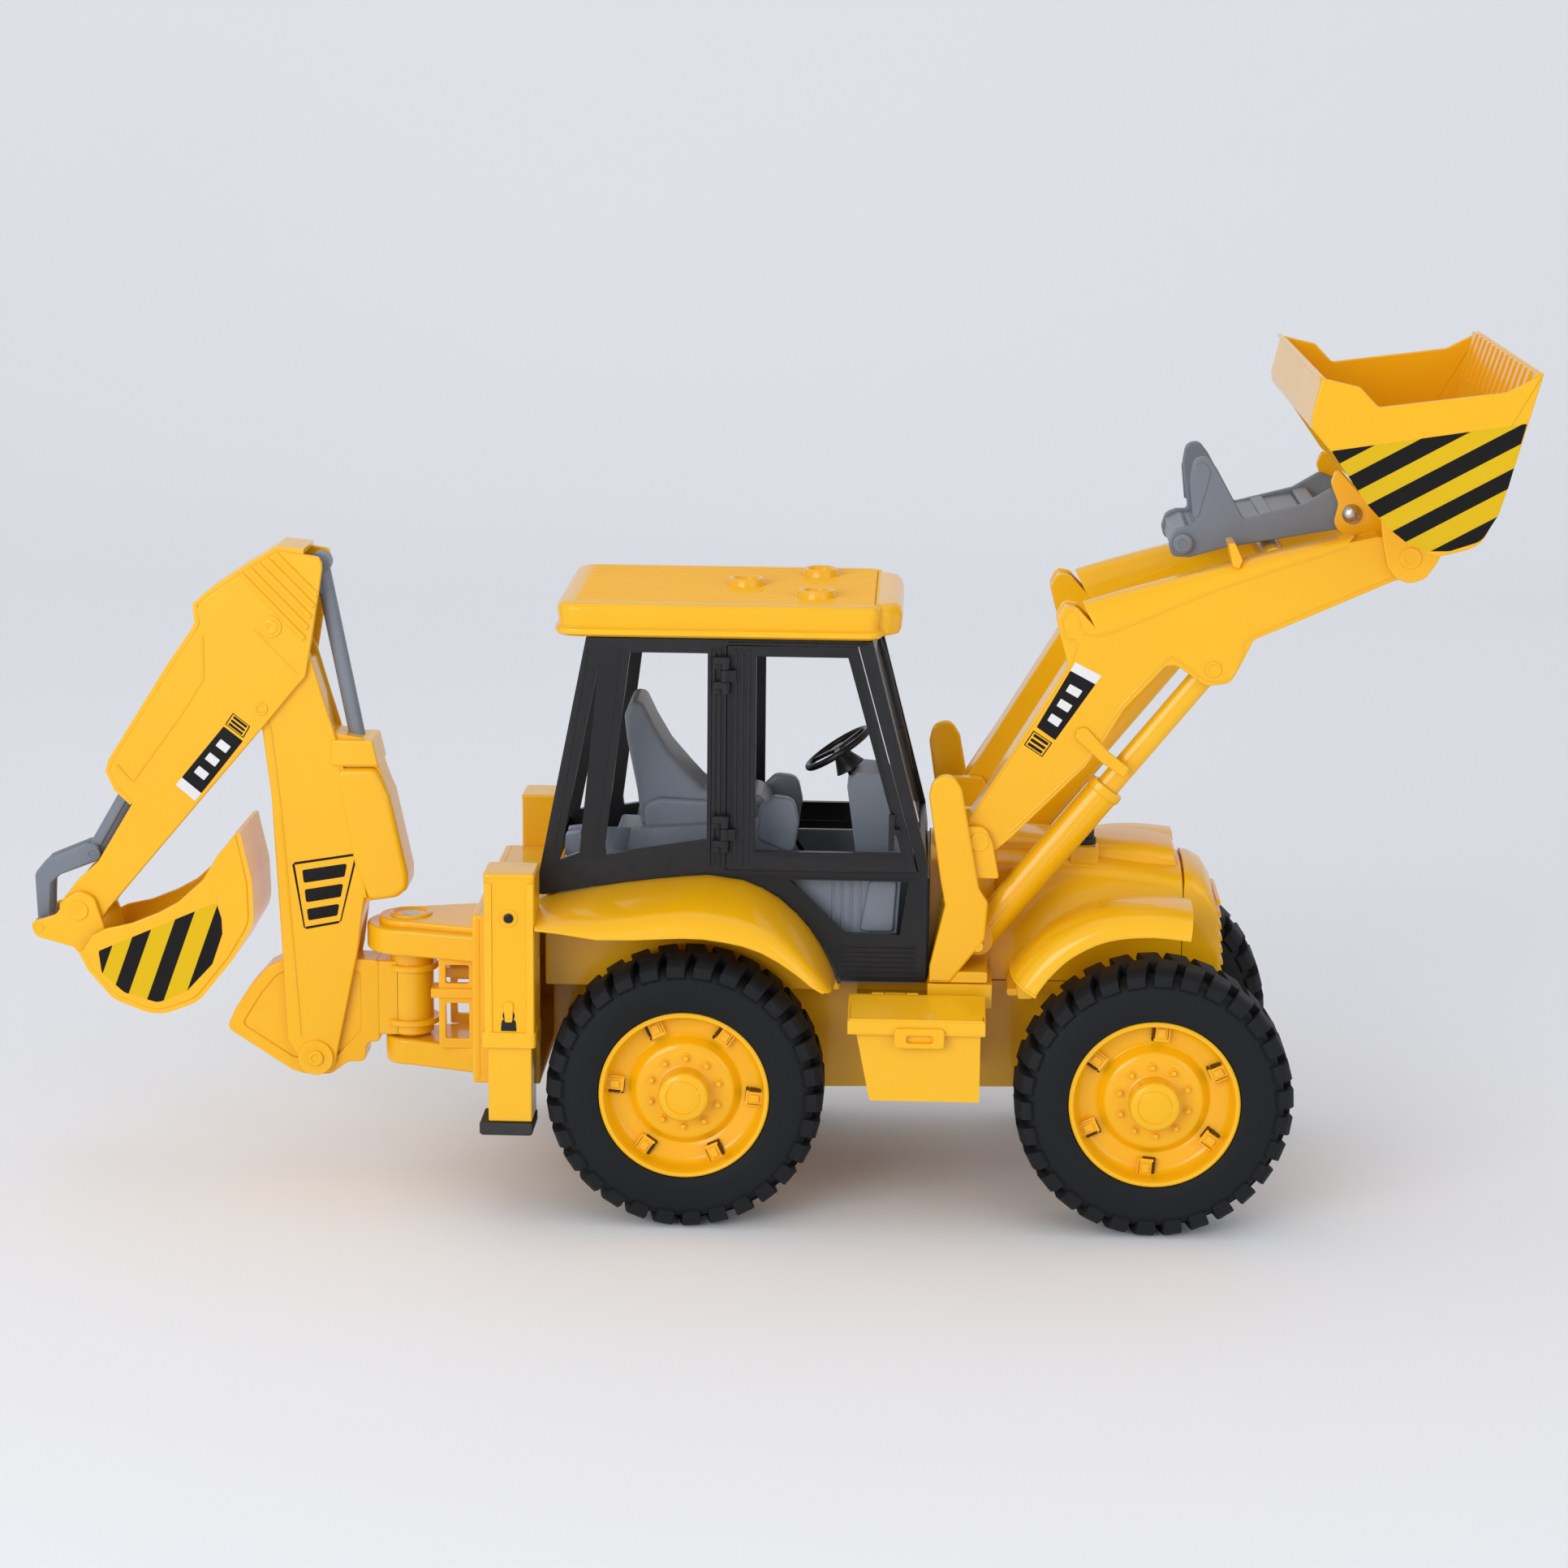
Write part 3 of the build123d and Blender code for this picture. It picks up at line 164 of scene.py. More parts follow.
def clear_plastic():
    mat, tree, bsdf = new_material("ClearPlastic")
    coords = tree.nodes.new("ShaderNodeTexCoord")
    haze = noise(tree, coords, 60, 3)
    shine = tree.nodes.new("ShaderNodeMapRange")
    shine.inputs["To Min"].default_value = 0.02
    shine.inputs["To Max"].default_value = 0.09
    link(tree, haze, "Fac", shine, "Value")
    link(tree, shine, "Result", bsdf, "Roughness")
    tint = ramp(tree, haze, "Fac", [(0.3, (0.9, 0.93, 0.95)), (0.7, (0.96, 0.97, 0.98))])
    link(tree, tint, "Color", bsdf, "Base Color")
    bsdf.inputs["Alpha"].default_value = 0.16
    return mat


CLEAR = clear_plastic()

MATERIALS = {
    "yellow_plastic": YELLOW,
    "black_plastic": BLACK,
    "grey_plastic": GREY,
    "tyre_rubber": TYRE,
    "black_rubber": RUBBER,
    "metal_pin": STEEL,
    "clear_plastic": CLEAR,
}
SLOT_OF = {s["node"]: s["material_slot"] for s in frame["record"]["subparts"]}

# ---- CAD nodes: moulded edges and finishes
SOFT_EDGE = {"yellow_plastic": 0.7, "black_plastic": 0.35, "grey_plastic": 0.6, "tyre_rubber": 0.5,
             "black_rubber": 0.6, "metal_pin": 0.3, "clear_plastic": 0.2}


def soften(obj, width):
    """Rounds a CAD part's sharp edges as moulding does, without changing its mesh."""
    weld = obj.modifiers.new("Weld", "WELD")
    weld.merge_threshold = 0.00001
    flat = obj.modifiers.new("Flat", "DECIMATE")
    flat.decimate_type = "DISSOLVE"
    flat.angle_limit = math.radians(0.6)
    bevel = obj.modifiers.new("Edges", "BEVEL")
    bevel.width = width * MM
    bevel.segments = 2
    bevel.limit_method = "ANGLE"
    bevel.angle_limit = math.radians(32)
    bevel.use_clamp_overlap = True
    bevel.harden_normals = False
    shade = obj.modifiers.new("Normals", "WEIGHTED_NORMAL")
    shade.keep_sharp = False
    for p in obj.data.polygons:
        p.use_smooth = True


for name, obj in frame["nodes"].items():
    slot = SLOT_OF[name]
    obj.data.materials.clear()
    obj.data.materials.append(MATERIALS[slot])
    soften(obj, SOFT_EDGE[slot])


# ---- geometry helpers, in mm from the rear axle
def rounded(points, corner):
    """The outline with its corners turned into short curves. A third number on a point is its own radius."""
    out = []
    for i, p in enumerate(points):
        before, here, after = (Vector(q[:2]) for q in (points[i - 1], p, points[(i + 1) % len(points)]))
        radius = p[2] if len(p) > 2 else corner
        u, v = before - here, after - here
        if radius <= 0 or u.length < 0.01 or v.length < 0.01:
            out.append(here)
            continue
        half = u.angle(v) / 2
        if half > math.radians(87.5):
            out.append(here)
            continue
        cut = min(radius / math.tan(half), 0.48 * u.length, 0.48 * v.length)
        a, b = here + u.normalized() * cut, here + v.normalized() * cut
        steps = 6 if radius > 2.5 else 3
        for k in range(steps + 1):
            t = k / steps
            out.append((1 - t) ** 2 * a + 2 * t * (1 - t) * here + t * t * b)
    return out


def signed_area(loop):
    return sum(a.x * b.y - b.x * a.y for a, b in zip(loop, loop[1:] + loop[:1])) / 2


def inset(loop, amount):
    """The loop drawn in by an amount, measured square to its edges."""
    moved = []
    for i, here in enumerate(loop):
        u = (here - loop[i - 1]).normalized()
        v = (loop[(i + 1) % len(loop)] - here).normalized()
        n = Vector((-u.y - v.y, u.x + v.x))
        if n.length < 1e-6:
            n = Vector((-u.y, u.x))
        n.normalize()
        spread = max(0.6, n.dot(Vector((-u.y, u.x))))
        moved.append(here + n * amount / spread)
    return moved


def slab(loops, low, high, edge=0.7, corner=1.2, facing="side"):
    """A plate from an outline and its holes, with rounded corners and rolled edges.

    facing side: outline (x, z) across Y; plan: (x, y) up Z; front: (y, z) along X."""
    edge = min(edge, (high - low) * 0.45)
    ready = []
    for i, loop in enumerate(loops):
        pts = rounded(loop, corner)
        if (signed_area(pts) > 0) != (i == 0):
            pts.reverse()
        ready.append(pts)
    levels = []
    for k in range(4):
        a = math.pi / 2 * k / 3
        levels.append((edge * (1 - math.sin(a)), low + edge * (1 - math.cos(a))))
    levels += [(i, low + high - z) for i, z in reversed(levels)]
    bm = bmesh.new()

    def place(p, level):
        if facing == "side":
            return (p.x, level, p.y)
        return (p.x, p.y, level) if facing == "plan" else (level, p.x, p.y)

    rings = []
    for pts in ready:
        rings.append([[bm.verts.new(place(p, z)) for p in inset(pts, i)] for i, z in levels])
    for loop_rings in rings:
        for a, b in zip(loop_rings, loop_rings[1:]):
            for j in range(len(a)):
                k = (j + 1) % len(a)
                bm.faces.new((a[j], a[k], b[k], b[j]))
    for end in (0, -1):
        caps = [r[end] for r in rings]
        if len(caps) == 1:
            bm.faces.new(caps[0])
        else:
            flat_verts = [v for c in caps for v in c]
            level = levels[end][0]
            flat_loops = [[Vector((p.x, p.y, 0)) for p in inset(pts, level)] for pts in ready]
            for tri in tessellate_polygon(flat_loops):
                bm.faces.new([flat_verts[t] for t in tri])
    bmesh.ops.recalc_face_normals(bm, faces=bm.faces)
    return bm


def frame_of(direction):
    """Two axes square to a direction, and the direction itself."""
    z = Vector(direction).normalized()
    x = Vector((0, 1, 0)) if abs(z.y) < 0.9 else Vector((1, 0, 0))
    x = (x - z * x.dot(z)).normalized()
    return x, z.cross(x), z


def lathe(profile, start=(0, 0, 0), direction=(0, 0, 1), turns=48, squeeze=1.0):
    """A profile of (radius, height) turned about an axis. squeeze narrows it across the vehicle."""
    x, y, z = frame_of(direction)
    o = Vector(start)
    bm = bmesh.new()
    rings = []
    for radius, height in profile:
        if radius < 1e-4:
            rings.append([bm.verts.new(o + z * height)])
            continue
        ring = []
        for k in range(turns):
            a = 2 * math.pi * k / turns
            ring.append(bm.verts.new(o + z * height + x * radius * squeeze * math.cos(a)
                + y * radius * math.sin(a)))
        rings.append(ring)
    for a, b in zip(rings, rings[1:]):
        for k in range(turns):
            n = (k + 1) % turns
            if len(a) == 1 and len(b) > 1:
                bm.faces.new((a[0], b[n], b[k]))
            elif len(b) == 1 and len(a) > 1:
                bm.faces.new((a[k], a[n], b[0]))
            elif len(a) > 1 and len(b) > 1:
                bm.faces.new((a[k], a[n], b[n], b[k]))
    bmesh.ops.recalc_face_normals(bm, faces=bm.faces)
    return bm


def pin(start, end, radius, edge=0.5, turns=32, squeeze=1.0):
    """A round bar between two points with eased ends."""
    a, b = Vector(start), Vector(end)
    length = (b - a).length
    e = min(edge, radius * 0.6, length * 0.4)
    profile = [(0, 0), (radius - e, 0), (radius - 0.3 * e, 0.3 * e), (radius, e), (radius, length - e),
        (radius - 0.3 * e, length - 0.3 * e), (radius - e, length), (0, length)]
    return lathe(profile, a, b - a, turns, squeeze)


def loft(rows, closed=False, caps=False):
    """A skin through rows of points."""
    bm = bmesh.new()
    grid = [[bm.verts.new(p) for p in row] for row in rows]
    n = len(grid[0])
    for a, b in zip(grid, grid[1:]):
        for k in range(n if closed else n - 1):
            m = (k + 1) % n
            bm.faces.new((a[k], a[m], b[m], b[k]))
    if caps:
        bm.faces.new(grid[0])
        bm.faces.new(grid[-1])
    bmesh.ops.recalc_face_normals(bm, faces=bm.faces)
    return bm


def tube(points, radius, turns=12, closed=False, squeeze=1.0):
    """A round rod bent along points."""
    pts = [Vector(p) for p in points]
    rows = []
    n = len(pts)
    for i, p in enumerate(pts):
        if closed:
            run = pts[(i + 1) % n] - pts[i - 1]
        else:
            run = pts[min(i + 1, n - 1)] - pts[max(i - 1, 0)]
        x, y, _ = frame_of(run)
        rows.append([p + x * radius * squeeze * math.cos(2 * math.pi * k / turns)
            + y * radius * math.sin(2 * math.pi * k / turns) for k in range(turns)])
    if closed:
        rows.append(rows[0])
    return loft(rows, closed=True, caps=not closed)


def smooth_line(points, steps=6):
    """A Catmull-Rom curve through points."""
    pts = [Vector(p) for p in points]
    out = []
    for i in range(len(pts) - 1):
        p0, p1, p2, p3 = pts[max(i - 1, 0)], pts[i], pts[i + 1], pts[min(i + 2, len(pts) - 1)]
        for k in range(steps):
            t = k / steps
            out.append(0.5 * ((2 * p1) + (p2 - p0) * t + (2 * p0 - 5 * p1 + 4 * p2 - p3) * t * t
                + (3 * p1 - p0 - 3 * p2 + p3) * t ** 3))
    out.append(pts[-1])
    return out


def mirrored(bm):
    """A copy on the other side of the centre plane."""
    copy = bm.copy()
    for v in copy.verts:
        v.co.y = -v.co.y
    bmesh.ops.reverse_faces(copy, faces=copy.faces)
    return copy


# Which sides the vehicle has, and whether a part drawn on the right is mirrored to get there
SIDES = (("right", False), ("left", True))


def on_side(parts, flip):
    """Parts drawn on one side, kept there or mirrored to the other."""
    return [mirrored(p) for p in parts] if flip else parts


def both_sides(*parts):
    return [p for bm in parts for p in (bm, mirrored(bm))]


def piece(name, body, slot, parts, stands_for=(), material=None, sharp=38):
    """Joins parts into one shown piece in metres, finishes it and puts it on its body."""
    bm = bmesh.new()
    for part in parts:
        scratch = bpy.data.meshes.new("scratch")
        part.to_mesh(scratch)
        bm.from_mesh(scratch)
        bpy.data.meshes.remove(scratch)
    for v in bm.verts:
        v.co = Vector((v.co.x + AXLE_X, v.co.y, v.co.z)) * MM
    mesh = bpy.data.meshes.new(name)
    bm.to_mesh(mesh)
    bm.free()
    for p in mesh.polygons:
        p.use_smooth = True
    mesh.set_sharp_from_angle(angle=math.radians(sharp))
    mesh.materials.append(material or MATERIALS[slot])
    obj = bpy.data.objects.new(name, mesh)
    bpy.context.scene.collection.objects.link(obj)
    shade = obj.modifiers.new("Normals", "WEIGHTED_NORMAL")
    shade.keep_sharp = True
    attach(obj, body)
    if stands_for:
        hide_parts(*stands_for)
    return obj


# ---- wheels
TYRE_Y, TYRE_W, RIM_R = 94, 38, 36.8
AXLE_HEIGHT, WHEELBASE = 60, 202
LUGS = 30
RIM_CLIPS, RIM_CLIP_START = 6, 12


def tyre_parts():
    """A tyre about the Z axis, inner face at height 0, outer face at TYRE_W."""
    half = [(RIM_R + 0.1, 3), (RIM_R + 0.4, 1.4), (RIM_R + 2.5, 0.5), (42, 0.1), (46, 0), (50.5, 0.5),
        (53.4, 2.0), (55.2, 5), (55.8, 9)]
    profile = half + [(r, TYRE_W - z) for r, z in reversed(half)]
    carcass = lathe(profile + [half[0]], turns=120)
    parts = [carcass]
    for z in (0.9, TYRE_W - 0.9):
        rib = [(43.5, z - 0.55), (43.9, z - 0.9 if z < 10 else z + 0.9),
            (44.6, z - 0.9 if z < 10 else z + 0.9), (45, z - 0.55)]
        parts.append(lathe([(r, min(max(h, 0.0), TYRE_W)) for r, h in rib], turns=120))
    pitch = 2 * math.pi / LUGS
    for row, (z_mid, z_side, shift) in enumerate(((19.6, TYRE_W, 0.0), (18.4, 0, 0.5))):
        sign = 1 if row == 0 else -1
        shape = [(54, z_mid - sign * 3.6), (59.6, z_mid - sign * 3.2), (60, z_mid),
            (60, z_side - sign * 7.4), (59.2, z_side - sign * 3.6), (57.2, z_side - sign * 1.1),
            (53.2, z_side - sign * 0.15), (51.6, z_side - sign * 1.4), (50, z_side - sign * 5)]
        for lug in range(LUGS):
            centre = (lug + shift) * pitch
            rows = []
            for k, (spread, drop) in enumerate(((-0.345, 0.5), (-0.315, 0), (0.315, 0), (0.345, 0.5))):
                row_pts = []
                for i, (r, z) in enumerate(shape):
                    lean = (z - z_mid) * sign * 0.0028
                    widen = 1.0 if i < 4 else 0.96
                    a = centre + spread * pitch * widen + lean
                    rr = r - drop if i not in (0, 8) else r
                    row_pts.append((rr * math.cos(a), rr * math.sin(a), z))
                rows.append(row_pts)
            parts.append(loft(rows, closed=True, caps=True))
    for knob in range(LUGS):
        a = (knob + 0.25) * pitch
        c, s = math.cos(a), math.sin(a)
        foot = Vector((55 * c, 55 * s, TYRE_W / 2))
        parts.append(lathe([(2.1, 0), (2.0, 3.9), (1.6, 4.3), (0, 4.4)], foot, (c, s, 0), 8))
    return parts


def rim_parts():
    profile = [(4.1, 4), (4.1, 37.2), (0, 37.2), (0, 40.5), (6.6, 40.5), (7.2, 40.1), (7.5, 40.5),
        (9.4, 40.3), (10.5, 39.6), (11, 38.4), (11.3, 31.2), (12.2, 30.6), (18.6, 30.2), (20.6, 29.9),
        (21.8, 28.8), (23.4, 26.2), (24.6, 25.7), (26.5, 26.4), (30.6, 27), (32.6, 28), (33.6, 30),
        (34, 33.6), (34.3, 35.6), (34.9, 36.7), (36.1, 37), (RIM_R - 0.1, 36.5), (RIM_R, 35.6),
        (RIM_R, 2), (34.4, 2), (34.4, 22), (30, 23), (22, 24), (9, 25), (9, 4)]
    parts = [lathe(profile + [profile[0]], turns=96)]
    for k in range(RIM_CLIPS):
        a = math.radians(RIM_CLIP_START + 360 / RIM_CLIPS * k)
        c, s = math.cos(a), math.sin(a)

        def polar_box(r0, r1, t0, t1, z0, z1):
            corners = [(r0, t0), (r1, t0), (r1, t1), (r0, t1)]
            return slab([[(r * c - t * s, r * s + t * c) for r, t in corners]], z0, z1, 0.35, 0.5, "plan")
        parts += [polar_box(27.3, 33.8, -2.7, 2.7, 25.5, 29.6), polar_box(28.3, 32.4, -1.6, 1.6, 29.2,
            30.6), polar_box(26.4, 27.6, -3.6, 3.2, 25.6, 29.9), polar_box(26.6, 33.4, -3.7, -2.9, 25.6,
            30.2)]
    for k in range(10):
        a = math.radians(36 * k + 9)
        foot = (15.3 * math.cos(a), 15.3 * math.sin(a), 29.8)
        parts.append(lathe([(2.1, 0), (1.9, 1.2), (1.35, 1.3), (1.3, 2.6), (1.0, 3.0), (0, 3.05)], foot,
            (0, 0, 1), 12))
    parts.append(lathe([(1.1, 0), (1.0, 0.5), (0.6, 0.7), (0, 0.72)], (6.2, -2.4, 39.8), (0, 0, 1), 12))
    return parts


def clip_slot_shade():
    """Painted shade: dark brown slabs standing for the shaded L-shaped openings beside each rim clip."""
    parts = []
    for k in range(RIM_CLIPS):
        a = math.radians(RIM_CLIP_START + 360 / RIM_CLIPS * k)
        c, s = math.cos(a), math.sin(a)
        for r0, r1, t0, t1 in ((28, 33.2, 3, 4.1), (26.2, 27.3, -1.6, 4.1)):
            corners = [(r0, t0), (r1, t0), (r1, t1), (r0, t1)]
            parts.append(slab([[(r * c - t * s, r * s + t * c, 0.2) for r, t in corners]], 26, 29.1, 0.2,
                0.3, "plan"))
    return parts


def stand_wheel(parts, centre, side, start):
    """Wheel parts turned upright on an axle end, with their pattern begun at an angle."""
    out = []
    turn = Matrix.Rotation(math.radians(start), 4, "Z")
    lay = Matrix.Rotation(math.radians(side * -90), 4, "X")
    move = Matrix.Translation((centre[0], side * (TYRE_Y - TYRE_W), centre[1]))
    for part in parts:
        copy = part.copy()
        bmesh.ops.transform(copy, matrix=move @ lay @ turn, verts=copy.verts)
        out.append(copy)
    return out


TYRE_SET, RIM_SET, SLOT_SHADE_SET = tyre_parts(), rim_parts(), clip_slot_shade()
for axle, x, start in (("rear", 0, 43), ("front", WHEELBASE, 13)):
    for side_name, side in (("right", -1), ("left", 1)):
        wheel = axle + "_wheel_" + side_name
        piece(wheel + "_tyre_tread", wheel, "tyre_rubber", stand_wheel(TYRE_SET, (x, AXLE_HEIGHT), side,
            start), ["%s_tyre_%s" % (axle, side_name)])
        piece(wheel + "_rim_dish", wheel, "yellow_plastic", stand_wheel(RIM_SET, (x, AXLE_HEIGHT), side,
            start), ["%s_rim_%s" % (axle, side_name)])
        # Painted shade: dark brown slabs laid in the openings beside the rim clips
        piece(wheel + "_rim_slot_shade", wheel, "black_plastic", stand_wheel(SLOT_SHADE_SET, (x, AXLE_HEIGHT), side,
            start), material=SLOT_PAINTED_SHADE)


# ---- loader arms
ARM_IN, ARM_OUT = 36, 53.5
ARM_MID = (ARM_IN + ARM_OUT) / 2
ARM_PIVOT, LIFT_FOOT, LIFT_EYE = (125.3, 166.4), (125.5, 120.5), (223.7, 242.9)
BUCKET_PIVOT, TILT_PIN = (305, 293), (282.2, 308)
arm_low = [(309, 284.4, 7), (299.5, 282.5, 3), (240.5, 255.8, 2), (237, 248, 4), (231.5, 237, 6),
    (221, 235.4, 6), (208, 244.3, 3), (203.5, 244, 3), (186, 224.6, 6), (177.6, 210, 5), (170, 199, 4),
    (139.5, 167.8, 2), (133, 162, 5), (125.3, 158.8, 6), (117.5, 164, 5)]
arm_side = [(119.4, 173, 3), (161.8, 243.6, 5), (158.2, 256, 6), (156.4, 263, 5), (159.6, 269.6, 4),
    (165.4, 268.4, 3), (174.6, 258.6, 1), (224.3, 279.4, 0), (278.5, 298.4, 4), (292, 301.4, 4),
    (301, 299.4, 4), (309.6, 298.6, 6), (313.6, 291, 6)] + arm_low


def arm_crown():
    """The half-round top of the arm, dying out towards the bucket."""
    low = smooth_line([(174.4, 257.4), (186, 262.6), (224.3, 278.6), (252, 288.8), (279, 298.2)], 5)
    high = smooth_line([(167.6, 270.0), (189, 276.7), (224, 286.4), (252, 294.2), (282, 301.2)], 5)
    rows = []
    for a, b in zip(low, high):
        row = []
        for k in range(13):
            t = math.pi * k / 12
            y = ARM_MID + (ARM_OUT - 0.1 - ARM_MID) * math.copysign(abs(math.cos(t)) ** 0.72, math.cos(t))
            lift = math.sin(t) ** 0.72
            row.append((a.x + (b.x - a.x) * lift, y, a.y + (b.y - a.y) * lift))
        rows.append(row)
    return loft(rows, closed=True, caps=True)


def ring_boss(centre, y0, y1, radius):
    """A raised boss with a dished face, as a pin head shows."""
    sign = 1 if y1 > y0 else -1
    depth = abs(y1 - y0)
    profile = [(0, 0), (radius, 0), (radius, depth - 0.3), (radius - 0.3, depth), (radius * 0.68, depth),
        (radius * 0.6, depth - 0.25), (0, depth - 0.25)]
    return lathe(profile, (centre[0], y0, centre[1]), (0, sign, 0), 32)


arm_outer = slab([arm_side], ARM_OUT - 2.6, ARM_OUT, 0.6)
arm_inner = slab([arm_side], ARM_IN, ARM_IN + 2.6, 0.6)
arm_back = slab([[(119.6, 173.4), (161.8, 243.6), (158.4, 255.6), (156.8, 262.8), (160, 268.6),
    (165, 267.4), (166.4, 261), (164.8, 252), (165.4, 241.6), (124.6, 172), (122, 170.4)]], ARM_IN + 1,
    ARM_OUT - 1, 0.5)
arm_deck = slab([[(165, 262), (174, 258), (224, 278.6), (279, 298), (292, 301), (301, 299.2), (303, 292),
    (296, 290), (288, 288.4), (272, 285), (192, 259), (180, 254), (166, 248)]], ARM_IN + 1, ARM_OUT - 1,
    0.5)
hook = slab([[(165.2, 212.4, 1.5), (166.2, 216.4, 1.8), (170.2, 217, 1.8), (180, 206.4, 2),
    (189.2, 199.4, 1), (187, 195, 1.2), (177.4, 201.4, 4)]], ARM_OUT - 0.5, ARM_OUT + 2.1, 0.8)
clip = slab([[(228.2, 297.4, 0.8), (231.2, 297.6, 0.8), (234.6, 290.4, 1), (233.4, 286.6, 1),
    (230.6, 287.4, 1)]], ARM_IN - 0.2, ARM_OUT + 0.7, 0.5)
arm_trim = []
for path in ([(120.6, 175), (163.2, 245.2), (160.2, 256), (158.8, 262.6), (161, 267.4), (164.8, 266.2),
        (174.2, 256.6), (224.6, 277.4), (279, 296.4)], [(300, 284.4), (241, 258), (236.4, 250.6),
        (230.8, 239.4), (221, 238), (208.6, 246.4), (203, 246.2), (184.8, 226), (176, 211),
        (168.8, 200.8), (138.4, 169.8)]):
    line = [(p.x, ARM_OUT + 0.02, p.y) for p in smooth_line(path, 4)]
    arm_trim.append(tube(line, 0.42, 6))
arm_set = [arm_outer, arm_inner, arm_back, arm_deck, arm_crown(), hook, clip,
    ring_boss(LIFT_EYE, ARM_OUT - 0.1, ARM_OUT + 0.8, 3.6), ring_boss(BUCKET_PIVOT, ARM_OUT - 0.1,
    ARM_OUT + 0.5, 5.6), ring_boss(LIFT_EYE, ARM_IN + 0.1, ARM_IN - 0.6, 3.6)] + arm_trim
for side, flip in (("left", False), ("right", True)):
    piece("loader_arm_moulding_" + side, "loader_arms", "yellow_plastic", on_side(arm_set, flip),
        ["loader_arm_" + side])

# Towers: a flat outer plate with a rounded head, the pivot block and an inner web
tower_set = [slab([[(104.6, 104, 1), (104.6, 111, 5), (110.9, 138.7, 4), (108.6, 150.6, 5),
    (103.2, 187, 6), (105, 195, 6.2), (113, 197, 6), (117.4, 190, 6), (125.6, 146.4, 5), (129.6, 140, 3),
    (128.6, 123.6, 3), (113.5, 104, 1)]], -62, -57.7, 1.3), slab([[(105, 104), (105, 111), (110.9, 138.7),
    (109, 150.6), (112, 176, 4), (128, 176, 4), (134, 160, 3), (130, 104)]], -35.2, -30.4, 0.6),
    slab([[(117, 172.6, 4), (127.6, 173, 5), (131, 166, 2), (134.2, 150, 1.2), (121, 150, 1)]], -57.9,
    -54.1, 0.7), slab([[(105, 104), (105, 109), (130, 109), (130, 104)]], -61, -31, 0.5),
    slab([[(105, 104), (105.2, 111), (110.4, 134), (113.6, 134), (111, 104)]], -61, -31, 0.5),
    slab([[(118.6, 171), (129, 171), (132.4, 152), (120.6, 152)]], -35.2, -34.2, 0.3), ]
for side, flip in SIDES:
    piece("loader_tower_moulding_" + side, "machine", "yellow_plastic", on_side(tower_set, flip),
        ["loader_tower_" + side])
pin_heads = both_sides(ring_boss(ARM_PIVOT, -57, -58.5, 4.2), pin((125.3, -57, 166.4),
    (125.3, -30.7, 166.4), 3.5), pin((125.5, -61.8, 120.5), (125.5, -30.7, 120.5), 2.5))
piece("loader_tower_pivot_pins", "machine", "yellow_plastic", pin_heads, ["loader_tower_pins"])

# Lift cylinders: an oval barrel with a collar, and the thick rod that slides in it
lift_dir = Vector((LIFT_EYE[0] - LIFT_FOOT[0], 0, LIFT_EYE[1] - LIFT_FOOT[1])).normalized()
lift_foot3 = Vector((LIFT_FOOT[0], -ARM_MID, LIFT_FOOT[1]))
barrel = lathe([(0, 1), (6.6, 1), (7.3, 1.8), (7.5, 3), (7.5, 83.4), (7.9, 83.9), (8.2, 84.4),
    (8.2, 87.2), (7.9, 87.8), (7.3, 88), (5.6, 88), (5.4, 86), (0, 86)], lift_foot3, lift_dir, 48, 0.755)
foot_eye = pin((LIFT_FOOT[0], -ARM_MID - 5.6, LIFT_FOOT[1]), (LIFT_FOOT[0], -ARM_MID + 5.6, LIFT_FOOT[1]),
    7, 0.8)
seam = tube([lift_foot3 + lift_dir * 8 + Vector((0, -5.6, 0)), lift_foot3 + lift_dir * 83
    + Vector((0, -5.6, 0))], 0.22, 6)
rod_shape = lathe([(0, 66), (5.3, 66), (5.3, 152), (0, 152)], lift_foot3, lift_dir, 40, 0.7)
rod_eye = pin((LIFT_EYE[0], -ARM_MID - 5.3, LIFT_EYE[1]), (LIFT_EYE[0], -ARM_MID + 5.3, LIFT_EYE[1]), 5,
    0.6)
for side, flip in SIDES:
    piece("lift_barrel_shell_" + side, "lift_barrel_" + side, "yellow_plastic",
        on_side([barrel, foot_eye, seam], flip), ["lift_cylinder_barrel_" + side])
    piece("lift_rod_shell_" + side, "lift_rod_" + side, "yellow_plastic",
        on_side([rod_shape, rod_eye], flip), ["lift_cylinder_rod_" + side])


# ---- loader bucket
cheek_top = [(260.9, 372.3, 1.5), (276.6, 368.8, 3), (284.6, 360.6, 3), (336.4, 367.4, 6),
    (351.3, 375.2, 1.2)]
belly = [(345.8, 354.5, 0), (338.2, 325.6, 14), (329, 303.5, 13), (310, 298.6, 10), (297.6, 305.4, 6),
    (257.6, 351.4, 4)]
BUCKET_HALF = 94
cheek = slab([cheek_top + belly + [(257.2, 356, 4)]], BUCKET_HALF - 2.6, BUCKET_HALF, 0.8, 2)


def shell_strip(line, thickness, y0, y1):
    """A bent plate following a side-view line, thickened inwards."""
    n = len(line)
    inner = []
    for i, p in enumerate(line):
        run = (line[min(i + 1, n - 1)] - line[max(i - 1, 0)]).normalized()
        inner.append(p + Vector((run.y, -run.x)) * thickness)
    loop = line + inner[::-1]
    rows = [[(p.x, y, p.y) for p in loop] for y in (y0, y1)]
    return loft(rows, closed=True, caps=True)


